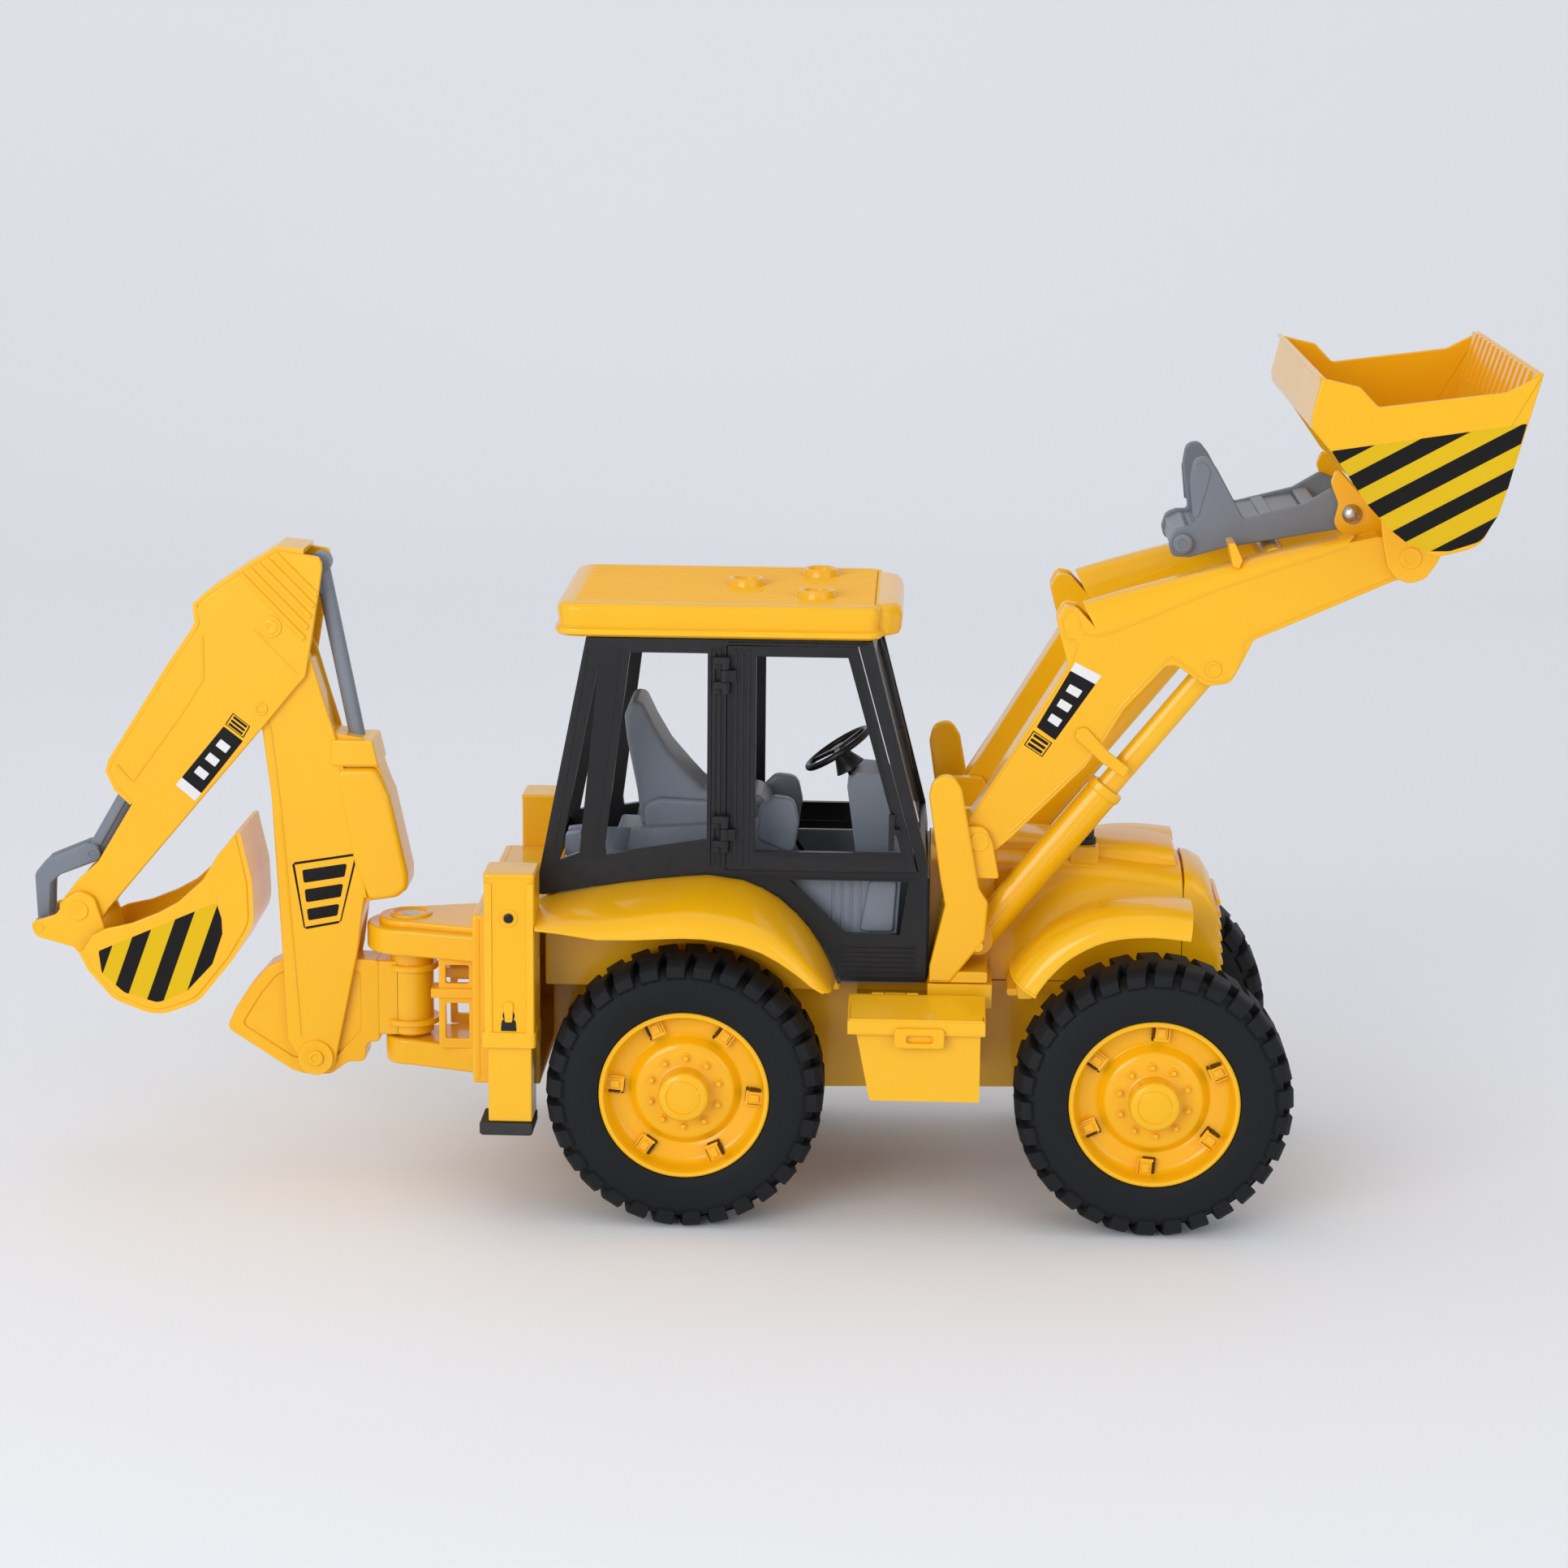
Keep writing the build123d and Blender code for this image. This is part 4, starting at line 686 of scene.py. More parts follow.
line = [Vector(p) for p in [(350.6, 374.8), (349.2, 368)]] + [Vector(p) for p
    in rounded([(347.4, 361, 0)] + belly + [(257.2, 356, 4), (260.7, 371.8, 0)], 1)]
skin = shell_strip(line, 2.6, -BUCKET_HALF + 1.5, BUCKET_HALF - 1.5)
teeth = []
for k in range(13):
    y = -78 + 13 * k
    teeth.append(loft([[(351.0, y + w, 374.9), (347.3, y + w, 375.6), (341.4, y + w * 0.8, 356),
        (345.8, y + w * 0.8, 354.2)] for w in (-3.1, -2.2, 2.2, 3.1)], closed=True, caps=True))
lip_roll = tube([(350.6, -92, 374.7), (350.6, 92, 374.7)], 0.85, 8)
back_roll = tube([(260.4, -92, 372.2), (260.4, 92, 372.2)], 1.0, 8)
inner_ear = slab([[(275, 328, 2), (272.8, 321, 4), (276.5, 312, 5), (274.4, 303, 6), (279.6, 298.4, 5),
    (287, 299, 4), (293.4, 298.6, 4), (296, 289, 4), (299, 284, 5), (305, 281.8, 6), (311.4, 284, 6),
    (315.6, 291, 4), (318, 302.6, 1), (290, 312, 1)]], 29.9, 33.4, 0.6)
outer_ear = slab([[(291.6, 311, 2), (293, 300, 3), (295.4, 289, 4), (299, 284, 5), (305, 281.8, 7),
    (311.6, 284, 6), (316.4, 291, 4), (322, 304, 1)]], 54.2, 57.8, 0.7)
ear_set = both_sides(inner_ear, outer_ear, ring_boss(BUCKET_PIVOT, 57.6, 58.6, 4.6),
    pin((305, 30, 293), (305, 57, 293), 3.5, 0.3))
piece("loader_bucket_moulding", "loader_bucket", "yellow_plastic", [skin, lip_roll, back_roll]
    + both_sides(cheek) + teeth + ear_set, ["loader_bucket"])
rivet = lathe([(0, 3.0), (1.5, 2.9), (3.1, 2.3), (4.1, 1.2), (4.3, 0), (3.9, -0.3), (2.8, -0.3),
    (2.8, -34)], (TILT_PIN[0], -33.4, TILT_PIN[1]), (0, -1, 0), 32)
piece("tilt_link_rivets", "loader_bucket", "metal_pin", both_sides(rivet), ["tilt_link_pin"])

# Tilt link: two side cheeks with finger ears, a floor and a bridge
link_cheek = [(204.6, 293.4, 5), (206.4, 299.2, 4), (211, 301, 3), (216.2, 301, 2), (213.2, 322, 8),
    (214.4, 330, 5.5), (220, 331.6, 5.5), (224.4, 326, 6), (236.4, 304.6, 2), (262, 311.2, 1),
    (274, 318.4, 3), (281.6, 315, 4), (287.6, 311, 5), (288.4, 303.6, 5), (281, 301.2, 3),
    (229, 291.8, 2), (214, 287.4, 4), (206, 287.6, 4)]
link_set = both_sides(slab([link_cheek], 25, 29, 0.9), pin((210.6, 28.5, 293.7), (210.6, 32.6, 293.7),
    4.2, 0.6), ring_boss((210.6, 293.7), 32.4, 33, 3.4), slab([[(213, 320, 4), (214.4, 327, 4),
    (219, 329, 4), (222, 325, 4), (217, 305, 2), (214.6, 305, 2)]], 28.8, 29.5, 0.3))
link_set += [slab([[(212, 291.8), (214, 299.4), (240, 304.8), (262, 309), (262, 304), (240, 299),
    (222, 294)]], -25.4, 25.4, 0.5), slab([[(206, 290), (206.4, 297), (212, 300), (216, 299),
    (214, 290)]], -25.4, 25.4, 0.8), slab([[(243, 301), (243.6, 306.4, 1), (249, 307.6, 1), (249, 302)]],
    -25.4, 25.4, 0.6), slab([[(262, 304), (262, 310.4, 1), (268, 312, 1), (270, 305)]], -25.4, 25.4, 0.6),
    pin((210.6, -25.5, 293.7), (210.6, 25.5, 293.7), 3.6, 0.3)]
piece("bucket_tilt_link_moulding", "tilt_link", "grey_plastic", link_set, ["bucket_tilt_link"])


# ---- bonnet, nose, exhaust and front guards
def hood_section(x, top, shoulder, half, foot=97.4, foot_half=29.4):
    pts = []
    for k in range(9):
        t = math.pi / 2 * k / 8
        pts.append((half * math.sin(t) ** 0.9, shoulder + (top - shoulder) * math.cos(t) ** 0.75))
    pts.append((half + (foot_half - half) * 0.3, shoulder - 12))
    pts.append((foot_half, (shoulder + foot) / 2 - 3))
    pts.append((foot_half, foot))
    row = [(x, -y, z) for y, z in pts[::-1]]
    return row + [(x, y, z) for y, z in pts[1:]]


hood = loft([hood_section(104, 155.6, 147.5, 28.6), hood_section(104.6, 156.2, 148, 28.8),
    hood_section(140, 155.4, 147, 29), hood_section(178, 153.4, 145, 29),
    hood_section(200, 150.8, 142, 29), hood_section(215.2, 148.4, 139.6, 29),
    hood_section(215.7, 147.8, 139, 28.6)], caps=True)
nose_rows = []
for x, top, shoulder, half in ((216.1, 148.2, 139.2, 28.7), (216.5, 149.2, 139.8, 29),
        (220, 148.8, 139, 29), (225.2, 146, 135.6, 28.8), (229, 140.2, 129, 28.4)):
    nose_rows.append(hood_section(x, top, shoulder, half))
last = nose_rows[-1]
for dx, top, squeeze in ((1.8, 130, 0.985), (2.6, 121, 0.98)):
    nose_rows.append([(229 + dx + (139 - min(z, 139)) * 0.055, y * squeeze, min(z, top)) for _, y,
        z in last])
nose_rows[-3] = [(x + (140 - min(z, 140)) * 0.06, y, z) for x, y, z in nose_rows[-3]]
nose_skin = loft(nose_rows, caps=True)
slats = []
for k in range(6):
    low = 103 + 5.4 * k
    slats.append(slab([[(231.4 + (130 - low) * 0.07, low + 0.8, 0.5), (233.4 + (130 - low) * 0.07,
        low + 0.2, 0.8), (233 + (130 - low) * 0.07, low + 3.2, 0.8), (231, low + 3.4, 0.5)]], -20, 20,
        0.3))
dome_low = [(106, 154.6), (150, 153.6), (178, 152), (200, 149.4), (211.5, 147.6)]
dome_rows = []
for (x, base), lift, wide in zip(dome_low, (5.6, 6, 6.4, 8.4, 8), (17, 18, 19.5, 19.5, 17)):
    row = []
    for k in range(15):
        t = math.pi * k / 14
        row.append((x, wide * math.copysign(abs(math.cos(t)) ** 0.55, math.cos(t)),
            base - 3 + (lift + 3) * math.sin(t) ** 0.45))
    dome_rows.append(row)
x, base = dome_low[-1]
dome_rows.append([(x + 1.2, y * 0.96, base - 3 + (z - base + 3) * 0.86) for _, y, z in dome_rows[-1]])
dome_rows.append([(x + 2.2, y * 0.99, base - 3 + (z - base + 3) * 0.4) for _, y, z in dome_rows[-2]])
dome = loft(dome_rows, caps=True)
stack_foot = slab([[(165.6, -25.6, 1), (178.4, -25.6, 1), (178.4, -14, 1), (165.6, -14, 1)]], 148, 157.2,
    0.6, facing="plan")
piece("bonnet_moulding", "machine", "yellow_plastic", [hood, dome, stack_foot], ["bonnet"])
piece("nose_moulding", "machine", "yellow_plastic", [nose_skin] + slats, ["nose_panel"])
stack = lathe([(0, 0), (4.3, 0), (4.3, 10.4), (4.0, 11.1), (3.5, 11.2), (3.2, 10.6), (3.2, 6), (0, 6)],
    (172.4, -16, 159.8), (0, 0, 1), 32)
stack_base = lathe([(0, 0), (5.2, 0), (5.2, 3.4), (4.2, 4), (0, 4)], (172.4, -16, 156.4), (0, 0, 1), 32)
piece("exhaust_tube", "machine", "black_plastic", [stack, stack_base], ["exhaust_stack"])

guard = [(141.2, 112.4), (147.8, 121.8), (158, 131.8), (171.4, 139.4), (184, 142.9), (200, 144),
    (216.4, 142.6)]
guard_line = smooth_line(guard, 5)


def guard_parts():
    n = len(guard_line)
    rows = []
    section = [(-57, 0.2), (-66, 1.5), (-78, 1.3), (-86, -0.4), (-89.6, -2.6), (-91.6, -5.6), (-92, -9.4),
        (-91.4, -10.4), (-90.5, -9.4), (-90, -5.8), (-88.4, -3.6), (-85, -2.2), (-78, -0.9), (-66, -0.9),
        (-57, -2.2)]
    for i, p in enumerate(guard_line):
        run = (guard_line[min(i + 1, n - 1)] - guard_line[max(i - 1, 0)]).normalized()
        up = Vector((-run.y, run.x))
        rows.append([(p.x + up.x * h, y, p.y + up.y * h) for y, h in section])
    skin = loft(rows, closed=True, caps=True)
    end_lip = tube([rows[0][k] for k in range(8)], 0.75, 8)
    foot = slab([[(143, 99), (143, 111.8), (148.6, 119.4), (150.6, 119), (149.6, 99)]], -68, -57.4, 0.6)
    inner = slab([[(142.6, 98), (142.6, 110.4), (150, 121), (160, 131.4), (173, 138.4), (186, 141.6),
        (204, 142.2), (214, 141), (214, 138.6), (188, 138.4), (170, 132.6), (158, 122.4), (149, 109),
        (149, 98)]], -59.4, -57.2, 0.6)
    base = slab([[(138.6, 97.8), (138.6, 101), (148.6, 101), (148.6, 97.8)]], -58, -30.6, 0.5)
    return [skin, end_lip, foot, inner, base]


guard_set = guard_parts()
for side, flip in SIDES:
    piece("front_guard_" + side, "machine", "yellow_plastic", on_side(guard_set, flip),
        ["front_fender_" + side])


# ---- roof
def plan_rows(outline, levels, corner=8):
    """Rings of one plan outline at rising heights, each drawn in by its own amount."""
    base = rounded(outline, corner)
    if signed_area(base) < 0:
        base.reverse()
    return [[(p.x, p.y, z) for p in inset(base, draw)] for z, draw in levels]


roof_plan = [(-59.5, -57.6, 12), (82.5, -57.6, 9), (82.5, 57.6, 9), (-59.5, 57.6, 12)]
roof_levels = [(252.6, 6.5), (252.8, 4.4), (253.4, 1.6), (254.4, 0.4), (255.8, 0.1), (256.6, 0.4),
    (257, 1.4), (257.8, 2), (264.6, 1.1), (266.2, 1.5), (267.2, 2.6), (267.7, 4.6), (267.8, 6.5)]
roof_shell = loft(plan_rows(roof_plan, roof_levels), closed=True, caps=True)
visor_plan = [(74, -49, 2), (84, -49, 9), (90.6, -40, 10), (90.6, 40, 10), (84, 49, 9), (74, 49, 2)]
visor = loft(plan_rows(visor_plan, [(253.4, 4), (254, 1.6), (256, 0.5), (262, 0), (265.4, 0.9),
    (267, 2.6), (267.6, 5)], 4), closed=True, caps=True)
roof_bits = [roof_shell, visor]
for k in range(-12, 13):
    roof_bits.append(tube([(-53, 4 * k, 267.5), (-49, 4 * k, 267.78), (76, 4 * k, 267.78),
        (80, 4 * k, 267.5)], 0.34, 6))
for x, y in ((53, -30), (53, 30), (21, 0)):
    roof_bits.append(lathe([(8.6, -0.6), (8.5, 0.4), (7.9, 2.4), (7.5, 3.2), (6.8, 3.5), (5.8, 3.3),
        (5.3, 2.4), (5.1, 1.4), (3.4, 1.4), (3, 2.2), (0, 2.3)], (x, y, 267.8), (0, 0, 1), 40))
piece("roof_moulding", "machine", "yellow_plastic", roof_bits, ["roof"])


# ---- rear body: deck, walls and the two arched fenders
stations = [((-66, 136.4), (-64.8, 133.4), (-64.2, 132)), ((-55, 139.3), (-54, 134), (-54, 131)),
    ((-41, 142), (-40, 134.6), (-38, 128.6)), ((-27, 144.3), (-26, 136), (-22, 128.8)),
    ((-14, 146), (-12, 138), (-9, 129.6)), ((-3, 147.2), (-3, 138.8), (-1, 130)),
    ((8, 148), (7, 138.8), (8, 129.8)), ((23, 146), (21, 136.6), (17, 128.6)),
    ((31.5, 142.6), (29.6, 134), (25, 127)), ((39, 138), (37, 130.4), (33, 124.2)),
    ((46.4, 131.6), (44, 125.6), (40, 120.4)), ((52, 125), (49.6, 120.4), (45.6, 116.6)),
    ((56.6, 118.2), (54.2, 115.4), (50.4, 113)), ((60.4, 111), (58.2, 110.8), (54.6, 109.4)),
    ((62.8, 105.6), (61.2, 107.4), (57.6, 107.6)), ((63.8, 102.6), (62.6, 106), (59.6, 106.6))]


def fender_parts():
    rows = []
    for (ix, iz), (cx, cz), (lx, lz) in stations:
        def mix(t, bulge):
            return ix + (cx - ix) * t, iz + (cz - iz) * t + bulge
        ring = [(ix, 49.6, iz - 0.4), (ix, 52.2, iz - 0.1)]
        for y, t, bulge in ((58, 0.1, 0.2), (68, 0.34, 0.7), (78, 0.66, 0.9), (84, 0.88, 0.6)):
            x, z = mix(t, bulge)
            ring.append((x, y, z))
        ring += [(cx, 87.2, cz), (cx + (lx - cx) * 0.3, 89.4, cz + (lz - cz) * 0.3),
            (cx + (lx - cx) * 0.7, 90.9, cz + (lz - cz) * 0.7), (lx, 91.3, lz), (lx, 90.2, lz - 0.4)]
        ring += [(cx + (lx - cx) * 0.5, 88.4, cz + (lz - cz) * 0.55 - 0.6), (cx, 85.4, cz - 2.2)]
        for y, t in ((76, 0.66), (62, 0.3)):
            x, z = mix(t, -1.9)
            ring.append((x, y, z))
        ring.append((ix, 49.6, iz - 2.6))
        rows.append([(x, -y, z) for x, y, z in ring])
    skin = loft(rows, closed=True, caps=True)
    lip = tube([Vector((lx, -90.7, lz - 0.1)) for _, _, (lx, lz) in stations], 0.75, 8)
    return [skin, lip]


arch_wall = [(-63.6, 97.3), (-63.6, 136.6), (-41, 141.6, 6), (-14, 145.6, 10), (7, 147.6, 10),
    (23, 145.6, 8), (39, 137.6, 8), (52, 124.6, 6), (60, 111.6, 5), (64, 101.6, 1), (66, 97.3)]
right_body = fender_parts() + [slab([arch_wall], -52, -49, 0.5, 1)]
body_bits = right_body + [mirrored(p) for p in right_body]
body_bits += [slab([[(-63.6, -49.4), (66, -49.4), (66, 49.4), (-63.6, 49.4)]], 97.3, 99.6, 0.4,
    facing="plan"), slab([[(-49.4, 97.4), (49.4, 97.4), (49.4, 128), (-49.4, 128)]], -63.6, -61, 0.4,
    facing="front")]
piece("rear_body_moulding", "machine", "yellow_plastic", body_bits, ["rear_body"])


# ---- cab trim: pillar ribs, sill ribs, hinge clips and wiper
trim = []
for x in (8.6, 10.2, 11.8, 13.4):
    trim += both_sides(tube([(x, 52.05, 152.5), (x, 52.05, 249)], 0.42, 6))
for z in (103.8, 106, 108.2, 110.4, 112.6, 114.8, 117):
    start = 66.4 + max(0, (z - 108)) * -0.35
    trim += both_sides(tube([(start, 52.0, z), (98.6, 52.0, z)], 0.5, 6))
for z in (251.1, 150.4, 147.6):
    trim += both_sides(tube([(16, 52.05, z), (76 if z > 200 else 98, 52.05, z)], 0.35, 6))
for top, low in (((-44.6, 247), (-60.2, 154)), ((-30.6, 247), (-41, 162))):
    trim += both_sides(tube([(top[0], 52.1, top[1]), (low[0], 52.1, low[1])], 0.45, 6))
for z in (161, 171.8, 231, 241.8):
    trim += both_sides(slab([[(10, z, 0.8), (16.8, z, 0.8), (16.8, z + 3.4, 0.8), (10, z + 3.4, 0.8)]],
        52, 56.4, 0.6))
trim += both_sides(slab([[(72, 249.6), (77, 249.6), (101.4, 160.6), (96.4, 160.6)]], 46.9, 48.4, 0.3),
    slab([[(10, 249), (16.4, 249), (16.4, 152), (10, 152)]], 46.9, 48.4, 0.3))
trim.append(slab([[(-47, 101.6), (47, 101.6), (47, 147), (-47, 147)]], 102.7, 104.3, 0.3, facing="front"))
trim.append(tube([(79.4, -11.2, 249), (83, -11.4, 240), (94, -11.6, 197)], 0.9, 8))
trim.append(tube([(91.2, -13.4, 207), (93.6, -11.6, 197.4), (95.4, -9.8, 188)], 0.7, 8))
piece("cab_trim_ribs", "machine", "black_plastic", trim)


# ---- stabilizer sleeves: painted shade, thin black discs and a black keyhole slot laid on the latch holes; the ridges and the tab are in the rear frame moulding
dark = both_sides(pin((-75.6, 89.7, 93.4), (-75.6, 90.3, 93.4), 2.6, 0.2),
    pin((-75.4, 89.9, 136.6), (-75.4, 90.8, 136.6), 2.1, 0.2), slab([[(-79, 86.6, 0.4),
    (-72.2, 86.6, 0.4), (-72.6, 92, 2), (-78.6, 92, 2)]], 89.7, 90.3, 0.2))
piece("stabilizer_latch_hole_shade", "machine", "black_plastic", dark)


# ---- driver seat: back, cushion and armrests
back = slab([[(-24, 160.8, 3), (-26, 177, 6), (-30.6, 200, 6), (-31.8, 211, 5), (-29.4, 217.4, 4),
    (-24, 217.4, 4), (-19, 207, 7), (-12.6, 196, 8), (-4, 186, 8), (3, 178.4, 6), (28, 176.4, 6),
    (33.4, 171.4, 5), (32, 161, 3)]], -17, 17, 2.6, 3)
seat_bits = [back] + both_sides(slab([[(-22, 156, 4), (-22.6, 172, 5), (-16, 175, 5), (26, 173, 7),
    (33, 166, 7), (32, 157, 5)]], 13.6, 20.4, 2, 3))
seat_bits += both_sides(tube([(-27.6, 12, 214), (-24.4, 12.4, 190), (-20, 12.6, 180)], 1.2, 8))
seat_bits.append(slab([[(-20, 161, 2), (-18, 166, 2), (26, 166, 2), (28, 161, 2)]], -20, 20, 1.6, 2))
piece("driver_seat_moulding", "machine", "grey_plastic", seat_bits, ["driver_seat"])


# ---- footwell panels behind the lower door windows
panels = both_sides(slab([[(40, 148, 2), (92, 148, 2), (90, 118, 2), (60, 118, 2)]], 41, 42.6, 0.5))
for k in range(5):
    panels += both_sides(tube([(62 + 4 * k, 42.7, 121), (62 + 4 * k, 42.7, 145)], 0.55, 6))
panels += both_sides(slab([[(74, 122, 2), (88.6, 122, 2), (90, 145, 2), (78, 145, 3)]], 42, 44.4, 0.9, 2))
piece("footwell_side_panels", "machine", "grey_plastic", panels)


# ---- control consoles and toolbox lid trim
consoles = both_sides(slab([[(27, 158, 4), (28, 172, 5), (34, 178, 5), (44, 177, 6), (46.4, 166, 6),
    (44, 151, 4)]], 20, 27.2, 2, 3))
piece("cab_control_consoles", "machine", "grey_plastic", consoles)
lid_rim = tube([(71, -70, 99.1), (71, -90.6, 94.7), (128, -90.6, 94.7), (128, -70, 99.1)], 0.8, 10)
lid_hem = tube([(70.9, -91, 89.5), (128.1, -91, 89.5)], 0.8, 10)
catch = slab([[(90, 83.2, 2), (111.6, 83.2, 2), (111.6, 92, 2), (90, 92, 2)],
    [(95.4, 85.6, 1), (106.6, 85.6, 1), (106.6, 88.8, 1), (95.4, 88.8, 1)]], -93.8, -91.2, 0.7)
piece("toolbox_lid_trim", "toolbox_lid", "yellow_plastic", [lid_rim, lid_hem, catch])


# ---- rear frame noses and swing bracket
SWING_X = -129.5


def round_plate(radius, front_half, z0, z1, edge):
    pts = []
    for k in range(25):
        a = math.pi / 2 + math.pi * k / 24
        pts.append((SWING_X + radius * math.cos(a), radius * math.sin(a), 0))
    return slab([[(-94, front_half, 1)] + pts + [(-94, -front_half, 1)]], z0, z1, edge, facing="plan")


frame_bits = [round_plate(19.9, 29.6, 100, 112, 1.4), round_plate(14.6, 24.8, 111.4, 115, 1.2),
    round_plate(12, 24.6, 47, 59, 1.6), lathe([(9.6, -0.4), (9.4, 0.8), (8.6, 1.2), (7.6, 0.8),
    (7.2, 0.3), (0, 0.3)], (SWING_X, 0, 115), (0, 0, 1), 40)]
web = [[(-114.6, 100.6), (-114.6, 58.4), (-93.6, 58.4), (-93.6, 100.6)],
    [(-111.4, 97, 1), (-111.4, 88.6, 1), (-101, 88.6, 1), (-101, 97, 1)],
    [(-111.4, 79.4, 1), (-111.4, 63, 1), (-101, 63, 1), (-101, 79.4, 1)]]
frame_bits += both_sides(slab(web, 19, 22, 0.5, 1))
frame_bits += both_sides(slab([[(-118, 86.4, 0.6), (-94, 86.4, 0.6), (-94, 82, 0.6), (-118, 82, 0.6)]],
    12, 23.4, 0.5))
frame_bits += [slab([[(-67.4, 56, 2), (67.4, 56, 2), (67.4, 132, 3), (-67.4, 132, 3)]], -94, -90, 1.2,
    facing="front"), slab([[(-93, -67.4), (-64.4, -67.4), (-64.4, 67.4), (-93, 67.4)]], 129, 131.8, 0.8,
    facing="plan"), slab([[(-93, -67.4), (-64.4, -67.4), (-64.4, 67.4), (-93, 67.4)]], 56.2, 59, 0.8,
    facing="plan")]
frame_bits += both_sides(slab([[(-93, 56.6), (-64.6, 56.6), (-64.6, 131.4), (-93, 131.4)]], 64.6, 67.2,
    0.6), slab([[(-86.3, 67.1, 2), (-64.4, 67.1, 1), (-64.4, 90, 2.4), (-86.3, 90, 2.4)],
    [(-85.1, 69.2), (-65.6, 69.2), (-65.6, 88.8), (-85.1, 88.8)]], 80, 155, 0.6, 0.6, facing="plan"),
    slab([[(-86.6, 67.1, 2), (-64.2, 67.1, 1), (-64.2, 90.2, 3), (-86.6, 90.2, 3)]], 153.4, 156, 1.1,
    facing="plan"), slab([[(-87.3, 67.1, 2), (-63.9, 67.1, 1), (-63.9, 91, 2.4), (-87.3, 91, 2.4)],
    [(-85.1, 69.2), (-65.6, 69.2), (-65.6, 88.8), (-85.1, 88.8)]], 79, 86, 0.6, 0.6, facing="plan"),
    slab([[(-86, 84, 1), (-82.6, 84, 1), (-82.6, 152, 1), (-86, 152, 1)]], 89.4, 90.7, 0.5),
    slab([[(-68, 84, 1), (-64.7, 84, 1), (-64.7, 152, 1), (-68, 152, 1)]], 89.4, 90.7, 0.5),
    ring_boss((-75.4, 136.6), 89.6, 90.6, 3.9), slab([[(-77.2, 90.6, 0.8), (-74, 90.6, 0.8),
    (-73.4, 99.6, 1.6), (-77.8, 99.6, 1.6)]], 89.8, 91, 0.4))
piece("rear_frame_moulding", "machine", "yellow_plastic", frame_bits, ["rear_frame"])

FAN = [(-143.4, 95, 2), (-160, 95.6, 4), (-184, 96, 6), (-194, 91, 4), (-202, 82, 4), (-209, 71, 4),
    (-213.2, 62, 4), (-184, 43, 4), (-178, 41, 5), (-166, 41, 5), (-158, 47, 4), (-150, 47.4, 3),
    (-149.4, 56.6, 3), (-143.4, 56.6, 2)]
bracket = [lathe([(4.1, 60), (8.8, 60), (9.8, 61), (9.8, 98.4), (8.8, 99.4), (4.1, 99.4)],
    (SWING_X, 0, 0), (0, 0, 1), 40), lathe([(9, 65), (12.6, 65), (13, 65.5), (13, 67.1), (12.6, 67.6),
    (9, 67.6)], (SWING_X, 0, 0), (0, 0, 1), 40), lathe([(9, 90), (11.6, 90), (12, 90.5), (12, 92.5),
    (11.6, 93), (9, 93)], (SWING_X, 0, 0), (0, 0, 1), 40), slab([[(-152, 60, 2), (-134, 60, 1),
    (-134, 94.7, 1), (-152, 94.7, 2)]], -8.1, 8.1, 1.2), slab([[(p[0] * 0.998 - 0.34, p[1] * 0.996 + 0.28,
    p[2]) for p in FAN]], -7.4, 7.4, 0.8), slab([FAN, [(p[0], p[1], 3) for p
    in [(-152, 90), (-183, 90.6), (-190, 87), (-197, 78.6), (-206, 64), (-183, 49), (-166, 47),
    (-152, 62)]]], -8.4, 8.4, 0.7)]
piece("swing_bracket_moulding", "swing_bracket", "yellow_plastic", bracket, ["swing_bracket"])


# ---- boom with its moulded cylinder casing
BOOM_PIVOT, DIPPER_PIVOT, SCOOP_PIVOT = (-172, 50), (-188.5, 248), (-277, 118)
LINK_JOINT, LINK_FOOT = (-272, 141.5), (-295.6, 110)
boom_line = [(-181, 51, 4), (-184.8, 58, 3), (-186.4, 96.5, 4), (-190.2, 171, 4), (-193.7, 200.6, 4),
    (-197, 243, 5), (-195, 253, 5), (-188.5, 257.4, 6), (-181, 254, 5), (-172, 236, 6), (-166, 215, 4),
    (-162, 202, 1), (-157.8, 186, 4), (-151.6, 152, 0), (-147.6, 131, 3), (-149.6, 121, 3),
    (-152.4, 99.5, 2), (-162.4, 52, 3), (-163.5, 46, 5), (-172, 41.2, 8)]
boom_shell = slab([boom_line], 9, 11.8, 0.9, 1.6)
boom_core = slab([[(-181, 60), (-184.6, 96.5), (-188.6, 171), (-192, 200.6), (-194.6, 240), (-172, 232),
    (-167, 215), (-164, 200), (-145, 196.6), (-142, 185), (-137, 171), (-130, 136), (-130, 128),
    (-149, 122), (-154, 99.5), (-158, 84), (-168, 101.2), (-178, 100.4)]], -9.4, 9.4, 0.5, 2)
boom_bits = both_sides(boom_shell) + [boom_core]
inner = smooth_line([(-178.8, 60), (-181.2, 96), (-184.8, 150), (-187.6, 180), (-191.2, 214),
    (-193.4, 240)], 6)
boom_bits += both_sides(tube([(p.x, 11.8, p.y) for p in inner], 0.55, 6))
casing = [(-161.6, 184, 4), (-143, 184.4, 4), (-137, 171.6, 6), (-129.4, 136, 8), (-129.4, 129.4, 5),
    (-134.4, 125, 6), (-147, 123, 4), (-154, 140, 8)]
boom_bits.append(slab([casing], -12.6, 12.6, 2.8, 4))
boom_bits.append(slab([[(-163, 185, 1), (-163, 197, 1.4), (-144.4, 197, 1.4), (-141.6, 185, 1)]], -12.9,
    12.9, 0.9, 1))
boom_bits += both_sides(tube([(-159.4, 11.8, 184), (-156.6, 11.8, 170), (-150.6, 11.8, 140),
    (-148.4, 11.8, 125)], 0.6, 6))
boom_bits += both_sides(ring_boss(BOOM_PIVOT, 11.6, 13.4, 8), ring_boss(DIPPER_PIVOT, 8, 11.9, 6))
